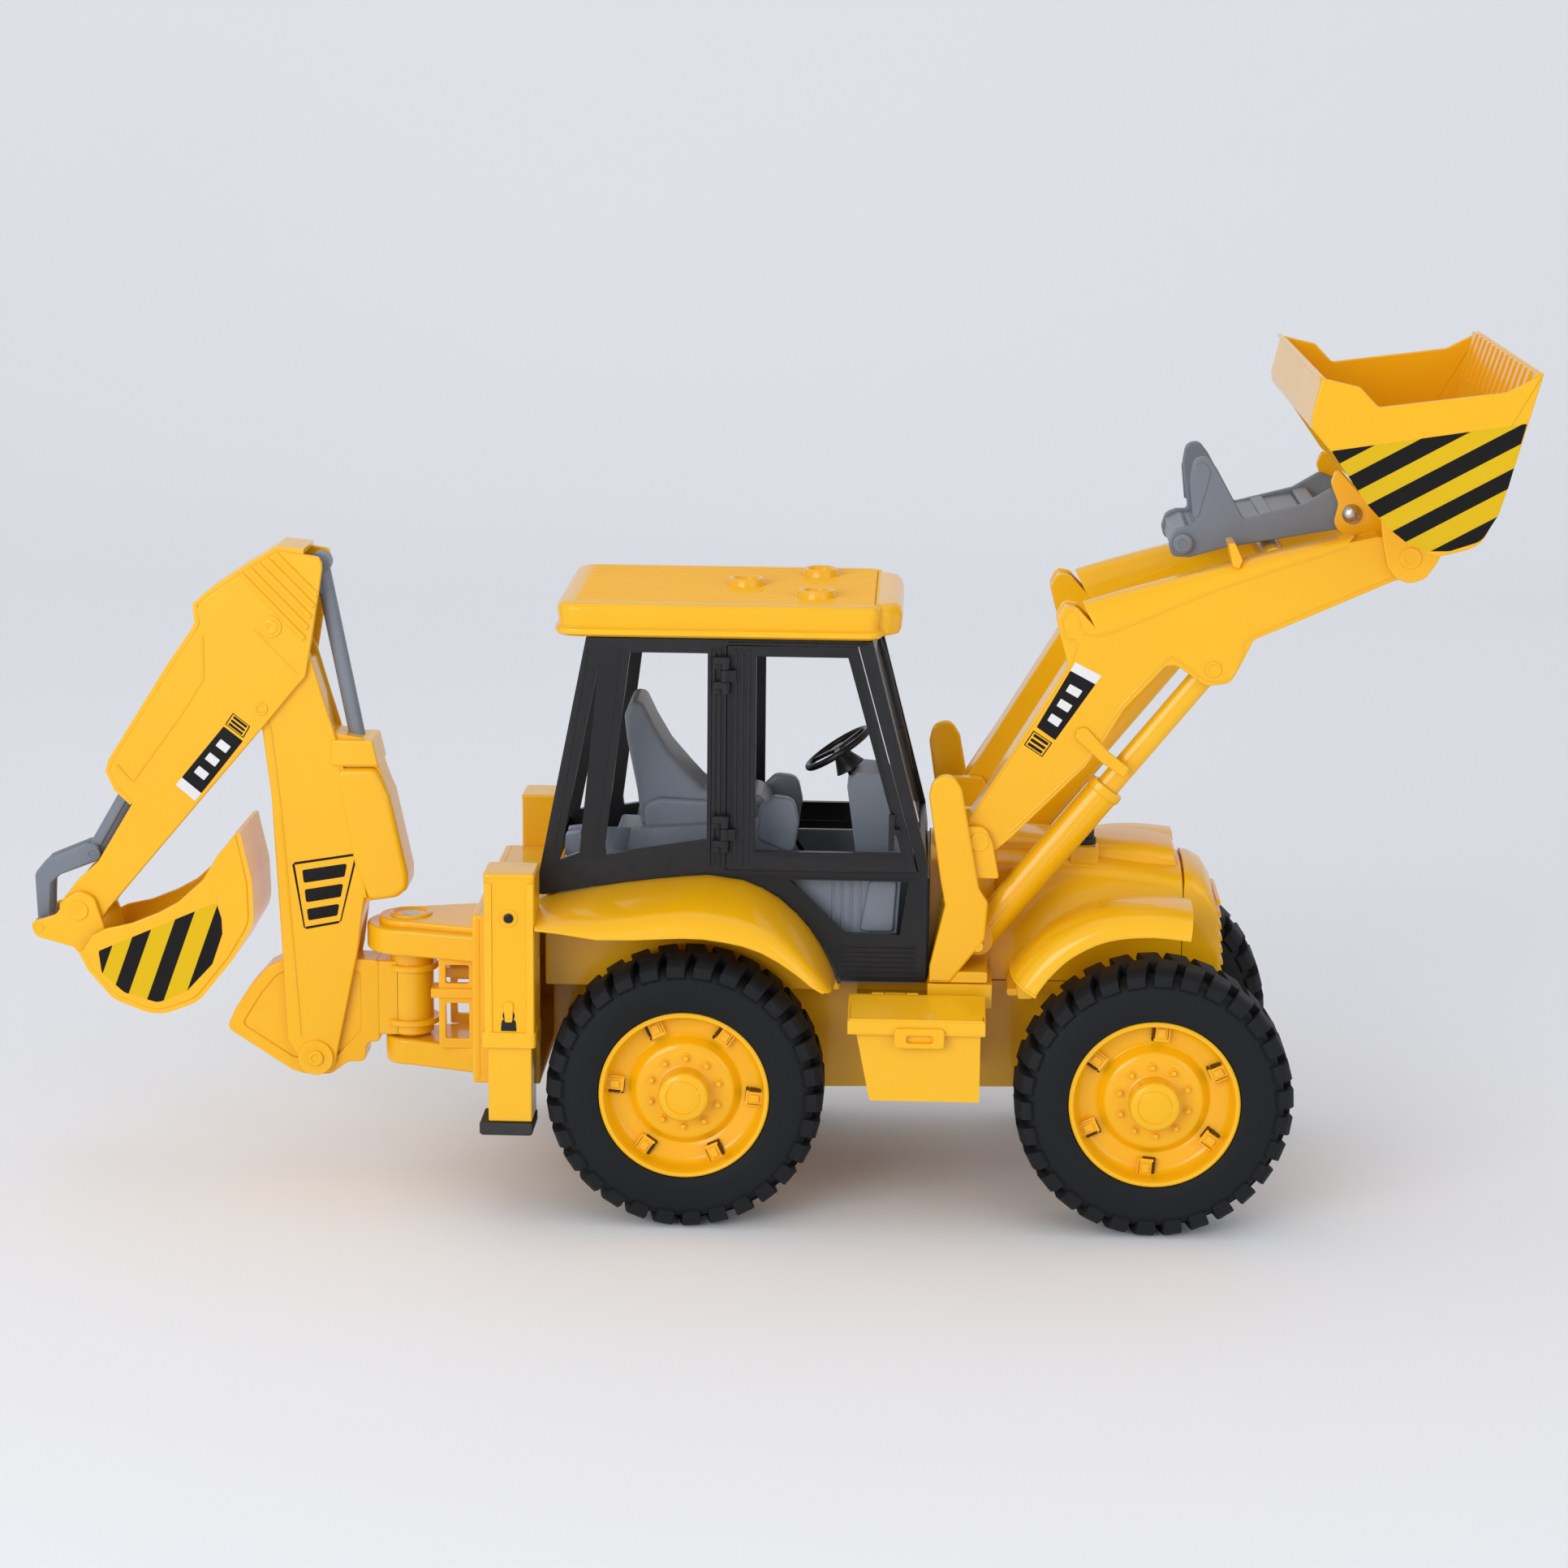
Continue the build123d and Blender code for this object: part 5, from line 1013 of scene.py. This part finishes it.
piece("boom_moulding", "boom", "yellow_plastic", boom_bits, ["boom"])
pins = both_sides(lathe([(0, 0), (3.6, 0), (3.6, 0.9), (3.2, 1.3), (2, 1.3), (1.6, 0.9), (0, 0.9)],
    (-172, 13.1, 50), (0, 1, 0), 28), lathe([(0, 0), (3.4, 0), (3.4, 0.6), (3, 0.9), (1.8, 0.9),
    (1.4, 0.6), (0, 0.6)], (-188.5, 15, 248), (0, 1, 0), 28))
pins += [pin((-172, -13.2, 50), (-172, 13.2, 50), 3), pin((-188.5, -15, 248), (-188.5, 15, 248), 3)]
piece("boom_pivot_pins", "boom", "yellow_plastic", pins, ["boom_pins"])


# ---- dipper arm
dip = [(-184.6, 282, 1.6), (-166.4, 279.4, 2), (-165.2, 275, 2), (-166.6, 265, 1), (-169.8, 246, 3),
    (-173.4, 225.6, 3), (-177.6, 221, 2), (-191.6, 204, 1), (-226.4, 163, 0), (-264.3, 118, 4),
    (-268.4, 111.6, 4), (-274, 109.2, 5), (-281.6, 110, 5), (-286.4, 114.4, 4), (-286.6, 120, 4),
    (-277.3, 131.8, 3), (-268.5, 139.7, 3), (-251.8, 167.6, 2), (-258.5, 173.8, 3), (-261.9, 181.7, 2),
    (-260.6, 185.8, 1.5), (-232.9, 229.5, 2), (-222.8, 243.9, 3), (-220.1, 248.7, 2), (-221.2, 256.6, 3),
    (-216, 261.4, 2), (-201.8, 271.1, 1)]
dip_bits = both_sides(slab([dip], 12.2, 14.8, 0.8, 1.6))
ridge = [(-251.8, 167.6), (-258.5, 173.8), (-261.9, 181.7), (-260.7, 185.4), (-232.9, 229.5),
    (-222.8, 243.9), (-220.3, 248.7), (-221.2, 256.6), (-216, 261), (-201.8, 271), (-184.6, 281.8),
    (-173.6, 280.4)]
dip_bits.append(shell_strip([Vector(p) for p in ridge], -2.2, -13.6, 13.6))
under = [(-191.6, 204), (-226.4, 163), (-264.3, 118), (-268.4, 111.6)]
dip_bits.append(shell_strip([Vector(p) for p in under], 2.2, -13.6, 13.6))
for k in range(5):
    t = k / 4
    a = (-201 + 15 * t, 271.4 + 9.6 * t)
    b = (-173.6 + 6 * t, 243 + 19.4 * t)
    dip_bits += both_sides(tube([(a[0], 14.7, a[1]), (b[0], 14.7, b[1])], 1.35, 8))
dip_bits += both_sides(tube([(p[0], 14.8, p[1]) for p in [(-218.8, 243.6), (-218.9, 224), (-228.6, 208.6),
    (-251.6, 177), (-258.4, 184.6)]], 0.55, 6), tube([(-196, 14.8, 246.5), (-176.6, 14.8, 226.5)], 0.5,
    6), ring_boss((-193.4, 211), 14.6, 15.1, 2.6), ring_boss(DIPPER_PIVOT, 14.6, 15.4, 5),
    ring_boss(SCOOP_PIVOT, 14.6, 15, 6))
piece("dipper_moulding", "dipper", "yellow_plastic", dip_bits + [pin((-168, -13.6, 275),
    (-168, 13.6, 275), 1.6, 0.2)], ["dipper_arm"])
ram_dir = Vector((-152 + 168, 0, 193 - 275)).normalized()
ram = lathe([(0, 3), (3.3, 3), (3.6, 3.6), (3.6, 112.4), (3.2, 113), (0, 113)], (-168, 0, 275), ram_dir,
    32)
piece("dipper_ram_bar", "ram_rod", "grey_plastic", [ram, lathe([(1.7, -4.4), (4.3, -4.4), (4.8, -3.9),
    (4.8, 3.9), (4.3, 4.4), (1.7, 4.4)], (-168, 0, 275), (0, 1, 0), 28),
    slab([[(-170.4, 272, 1), (-165.8, 272.6, 1), (-163.6, 262, 1), (-168.4, 261, 1)]], -3.4, 3.4, 0.6)],
    ["dipper_ram_rod"])


# ---- scoop, its pin and the bent link
bowl = [(-274.4, 101, 0), (-270.8, 93.3, 6), (-260, 80.5, 10), (-241.4, 73.2, 18), (-224, 80, 14),
    (-208.8, 99, 14), (-199.2, 115, 16), (-199.8, 134, 10), (-204.6, 155.8, 0)]
brow = [(-212.4, 146.4, 2), (-219.6, 134.4, 8), (-231, 124, 8), (-240, 119, 8), (-252, 114, 6),
    (-263.4, 111.4, 2), (-270, 108, 2)]
bowl_line = [Vector(bowl[0][:2])] + [Vector(p) for p in rounded(bowl, 4)[1:-1]] + [Vector(bowl[-1][:2])]
scoop_bits = both_sides(slab([bowl + brow], 21.8, 24, 0.7, 1.5))
scoop_bits.append(shell_strip(bowl_line, 2.2, -23.2, 23.2))
for k in range(8):
    y = -20.3 + 5.8 * k
    scoop_bits.append(slab([[(-204.9, 155.6, 0.4), (-201.6, 141, 2), (-199.3, 130, 4), (-200.6, 126, 2),
        (-203.4, 136, 2), (-206.4, 150, 1)]], y - 1.5, y + 1.5, 0.6))
ear = [(-299.4, 112, 4), (-296.8, 105.6, 4), (-280, 101, 4), (-272, 92, 3), (-262, 96, 3), (-266, 112, 3),
    (-270, 124, 5), (-277, 127.4, 6), (-283.4, 123, 4), (-287, 116, 5)]
scoop_bits += both_sides(slab([ear], 15.2, 18.2, 0.7), ring_boss(SCOOP_PIVOT, 18, 18.9, 4.4),
    ring_boss(LINK_FOOT, 18, 18.6, 2.6))
piece("backhoe_scoop_moulding", "scoop", "yellow_plastic", scoop_bits, ["backhoe_scoop"])
bend = [(-298.2, 108, 2.4), (-299, 132, 5), (-293.6, 138.6, 3), (-275.6, 146.2, 3), (-270, 145.6, 3),
    (-268.4, 141, 3), (-271.2, 138, 2), (-287.4, 131.6, 2.5), (-291.8, 127.6, 3), (-292.8, 108.4, 2.4)]
link_bits = both_sides(slab([bend], 3.8, 7.2, 0.9), ring_boss(LINK_JOINT, 7, 7.8,
    3.2)) + [pin((-295.6, -14.8, 110), (-295.6, 14.8, 110), 3, 0.4)]
piece("scoop_link_bars", "scoop_link", "grey_plastic", link_bits, ["scoop_link"])

slide_run = Vector((0.503, 0, 0.864))
joint = Vector((LINK_JOINT[0], 0, LINK_JOINT[1]))
slide = [lathe([(0, 2), (3.9, 2), (4.3, 2.6), (4.3, 53.4), (3.9, 54), (0, 54)], joint, slide_run, 24,
    0.74), tube([joint + slide_run * 4 + Vector((0, -3.1, 0)), joint + slide_run * 52
    + Vector((0, -3.1, 0))], 0.9, 8), tube([joint + slide_run * 4 + Vector((0, 3.1, 0)),
    joint + slide_run * 52 + Vector((0, 3.1, 0))], 0.9, 8), pin((-272, -3.4, 141.5), (-272, 3.4, 141.5),
    4, 0.6), pin((-272, -7.4, 141.5), (-272, 7.4, 141.5), 1.6, 0.2)]
piece("scoop_slider_bar", "slider_rod", "grey_plastic", slide, ["scoop_slider_rod"])
rim_ring = both_sides(lathe([(1.9, 0), (2.9, 0), (3.1, 0.4), (2.7, 0.8), (2.1, 0.8), (1.9, 0.4)],
    (-193.4, 14.6, 211), (0, 1, 0), 28))
piece("dipper_screw_rings", "dipper", "yellow_plastic", rim_ring)


# ---- decals: hazard bands, plain labels and striped badges
def decal_material(name, base, pale):
    return moulded_plastic(name, base, tuple(c * 0.9 for c in base), pale, (0.42, 0.52), 1200, 0.00001,
        wear=0.2, spec=0.16)


HAZARD_YELLOW = decal_material("HazardYellow", (0.74, 0.47, 0.002), (0.85, 0.6, 0.06))
HAZARD_BLACK = decal_material("HazardBlack", (0.006, 0.005, 0.005), (0.04, 0.035, 0.035))
LABEL_WHITE = decal_material("LabelWhite", (0.80, 0.80, 0.80), (0.9, 0.9, 0.9))
# The decals are drawn on the left, so it is the right one that is mirrored
DECAL_SIDES = (("right", True), ("left", False))


def clipped(loop, normal, limit):
    """The part of an outline on the low side of a line."""
    out = []
    for i, b in enumerate(loop):
        a = loop[i - 1]
        da, db = a.dot(normal) - limit, b.dot(normal) - limit
        if (da <= 0) != (db <= 0):
            out.append(a + (b - a) * (da / (da - db)))
        if db <= 0:
            out.append(b)
    return out


def bands(outline, slope_degrees, edges):
    """Strips of an outline between pairs of heights, measured square to a slope."""
    a = math.radians(slope_degrees)
    normal = Vector((-math.sin(a), math.cos(a)))
    out = []
    for low, high in edges:
        part = clipped(clipped(outline, normal, high), -normal, -low)
        if len(part) > 2 and abs(signed_area(part)) > 0.5:
            out.append(part)
    return out


def film(loop, y, thick=0.14):
    """A thin sheet laid on a side face."""
    return slab([[(p.x, p.y, 0) for p in loop]], y, y + thick, 0.05)


bucket_film = [Vector(p) for p in rounded([(265.8, 342.4, 0.5), (345.2, 354.8, 0.5), (343, 346, 0),
    (339, 329, 0), (335.4, 317, 6), (329, 306, 8), (316, 301.6, 8), (306, 301.4, 4), (298.6, 304.6, 3),
    (291, 310.4, 1), (281, 321, 0)], 0.5)]
BUCKET_SLOPE, SCOOP_SLOPE = 29, 70


def height_over(slope_degrees, x, z):
    """The height of a point measured square to a slope, as bands() takes it."""
    slope = math.radians(slope_degrees)
    return -x * math.sin(slope) + z * math.cos(slope)


def hazard_decals(name, body, outline, y, slope_degrees, edges):
    """A yellow film with black stripes over it, on both sides."""
    for side, flip in DECAL_SIDES:
        dark = [film(p, y + 0.1) for p in bands(outline, slope_degrees, edges)]
        piece(name + "_hazard_film_" + side, body, "yellow_plastic", on_side([film(outline, y)], flip),
            material=HAZARD_YELLOW)
        piece(name + "_hazard_stripes_" + side, body, "black_plastic", on_side(dark, flip),
            material=HAZARD_BLACK)


hazard_decals("bucket", "loader_bucket", bucket_film, 93.95, BUCKET_SLOPE,
    [(height_over(BUCKET_SLOPE, 300, low), height_over(BUCKET_SLOPE, 300, high)) for low,
    high in ((354.3, 372), (338.8, 346.8), (322.6, 330.6), (306.4, 313.9), (285, 296.9))])
scoop_film = [Vector(p) for p in rounded([(-267.2, 101, 1), (-213.6, 124.4, 1), (-211.4, 117, 1),
    (-211.2, 110, 1), (-216, 96, 2), (-228, 83, 4), (-241, 77.6, 6), (-256, 82, 6), (-266, 91, 3)], 0.5)]
hazard_decals("scoop", "scoop", scoop_film, 23.95, SCOOP_SLOPE, [(height_over(SCOOP_SLOPE, right, 100),
    height_over(SCOOP_SLOPE, left, 100)) for left, right in ((-267.2, -262.2), (-254.6, -247.4),
    (-238.2, -230.6), (-221.6, -214))])


def quad_part(quad, u0, u1, v0, v1):
    """A patch of a quad between two fractions along it and two across it."""
    a, b, c, d = (Vector(p) for p in quad)

    def at(u, v):
        return (a + (d - a) * u) * (1 - v) + (b + (c - b) * u) * v
    return [at(u0, v0), at(u1, v0), at(u1, v1), at(u0, v1)]


def label(name, body, quad, y, white_first, badge=None):
    """A dark label with a white end strip and three plain light bars, and an optional small striped badge."""
    for side, flip in DECAL_SIDES:
        def put(loops, lift):
            made = [slab([[(p.x, p.y, 0.35) for p in q]], y, y + lift, 0.04) for q in loops]
            return on_side(made, flip)
        strip = (0, 0.13) if white_first else (0.87, 1)
        rest = (0.13, 1) if white_first else (0, 0.87)
        light = [quad_part(quad, *strip, 0, 1)]
        for k in range(3):
            mid = rest[0] + (rest[1] - rest[0]) * (0.24 + 0.26 * k)
            light.append(quad_part(quad, mid - 0.055, mid + 0.055, 0.24, 0.76))
        dark = [quad_part(quad, *rest, 0, 1)]
        piece(name + "_dark_" + side, body, "black_plastic", put(dark, 0.13), material=HAZARD_BLACK)
        piece(name + "_light_" + side, body, "yellow_plastic", put(light, 0.2), material=LABEL_WHITE)
        if badge:
            bars = [quad_part(badge, u, u + 0.17, 0.12, 0.88) for u in (0.12, 0.42, 0.71)]
            edge = [quad_part(badge, 0, 0.05, 0, 1), quad_part(badge, 0.95, 1, 0, 1),
                quad_part(badge, 0, 1, 0, 0.05), quad_part(badge, 0, 1, 0.95, 1)]
            piece(name + "_badge_" + side, body, "black_plastic", put(bars + edge, 0.16),
                material=HAZARD_BLACK)


label("arm_label", "loader_arms", [(164.8, 245.1), (176.1, 239.3), (157.0, 210.9), (148.9, 216.5)], 53.46,
    True, [(147.6, 215), (155.8, 209.6), (151.6, 203.4), (143.6, 208.6)])
label("dipper_label", "dipper", [(-210.3, 202.8), (-201.8, 196.3), (-223.8, 168.6), (-232.4, 175.8)],
    14.76, False, [(-206, 209), (-198.4, 203), (-201.6, 197.6), (-209.6, 203.8)])

for side, flip in DECAL_SIDES:
    quad = [(-181.4, 140.4), (-151.6, 145.4), (-159.8, 113.0), (-176.4, 109.6)]
    loops = [quad_part(quad, u0, u1, v0, v1) for u0, u1, v0, v1 in ((0, 0.035, 0.03, 0.97),
        (0.965, 1, 0.04, 0.96), (0.02, 0.98, 0, 0.035), (0.02, 0.98, 0.965, 1), (0.13, 0.32, 0.14, 0.86),
        (0.42, 0.61, 0.14, 0.86), (0.71, 0.88, 0.14, 0.86))]
    made = [slab([[(p.x, p.y, 0.9) for p in q]], 11.78, 11.94, 0.04) for q in loops]
    piece("boom_badge_" + side, "boom", "black_plastic", on_side(made, flip), material=HAZARD_BLACK)


# ---- stage
def build_stage():
    bm = bmesh.new()
    profile = [(-9.0, 0.0), (1.6, 0.0)]
    for k in range(1, 13):
        a = math.pi / 2 * k / 12
        profile.append((1.6 + 0.9 * math.sin(a), 0.9 - 0.9 * math.cos(a)))
    profile.append((2.5, 4.2))
    rows = [[bm.verts.new((x, y, z)) for x in (-9, 9)] for y, z in profile]
    for a, b in zip(rows, rows[1:]):
        bm.faces.new((a[0], a[1], b[1], b[0]))
    mesh = bpy.data.meshes.new("studio_sweep")
    bm.to_mesh(mesh)
    floor = bpy.data.objects.new("studio_sweep", mesh)
    bpy.context.scene.collection.objects.link(floor)
    for p in mesh.polygons:
        p.use_smooth = True
    mat, tree, bsdf = new_material("Backdrop")
    coords = tree.nodes.new("ShaderNodeTexCoord")
    blotch = noise(tree, coords, 0.8, 2)
    colour = ramp(tree, blotch, "Fac", [(0.3, (0.9, 0.91, 0.93)), (0.7, (0.93, 0.935, 0.95))])
    link(tree, colour, "Color", bsdf, "Base Color")
    bsdf.inputs["Roughness"].default_value = 0.8
    mesh.materials.append(mat)


build_stage()


def area(name, location, target, size, power, colour=(1, 1, 1)):
    data = bpy.data.lights.new(name, "AREA")
    data.shape = "RECTANGLE"
    data.size, data.size_y = size
    data.energy = power
    data.color = colour
    lamp = bpy.data.objects.new(name, data)
    lamp.location = location
    lamp.rotation_euler = (Vector(target) - Vector(location)).to_track_quat("-Z", "Y").to_euler()
    bpy.context.scene.collection.objects.link(lamp)


area("key_softbox", (-1.2, -2.2, 0.95), (0, 0, 0.12), (1.5, 1.1), 25)
area("top_softbox", (0.2, 0.3, 2.4), (0, 0, 0.1), (2.4, 1.8), 5)
area("fill_card", (1.8, -1.9, 1.0), (0.1, 0, 0.15), (1.6, 1.4), 8)

world = bpy.data.worlds.new("StudioAir")
world.use_nodes = True
world.node_tree.nodes["Background"].inputs["Color"].default_value = (0.93, 0.95, 1.0, 1)
world.node_tree.nodes["Background"].inputs["Strength"].default_value = 0.67
bpy.context.scene.world = world
bpy.context.scene.view_settings.view_transform = "Standard"


# ---- camera
CAMERA_AT, LENS_MM = (0.07193, -1.64162, 0.53403), 86.31
DOWN, YAW, ROLL = math.radians(12.233), math.radians(-2.066), math.radians(0.572)
forward = Vector((math.sin(YAW) * math.cos(DOWN), math.cos(YAW) * math.cos(DOWN), -math.sin(DOWN)))
right = Vector((math.cos(YAW), -math.sin(YAW), 0))
up = right.cross(forward)
right2 = math.cos(ROLL) * right + math.sin(ROLL) * up
up2 = -math.sin(ROLL) * right + math.cos(ROLL) * up
camera_data = bpy.data.cameras.new("camera")
camera_data.sensor_width = 36
camera_data.lens = LENS_MM
camera = bpy.data.objects.new("camera", camera_data)
turn = Matrix((right2, up2, -forward)).transposed().to_4x4()
camera.matrix_world = Matrix.Translation(CAMERA_AT) @ turn
bpy.context.scene.collection.objects.link(camera)
bpy.context.scene.camera = camera

bpy.context.view_layer.update()
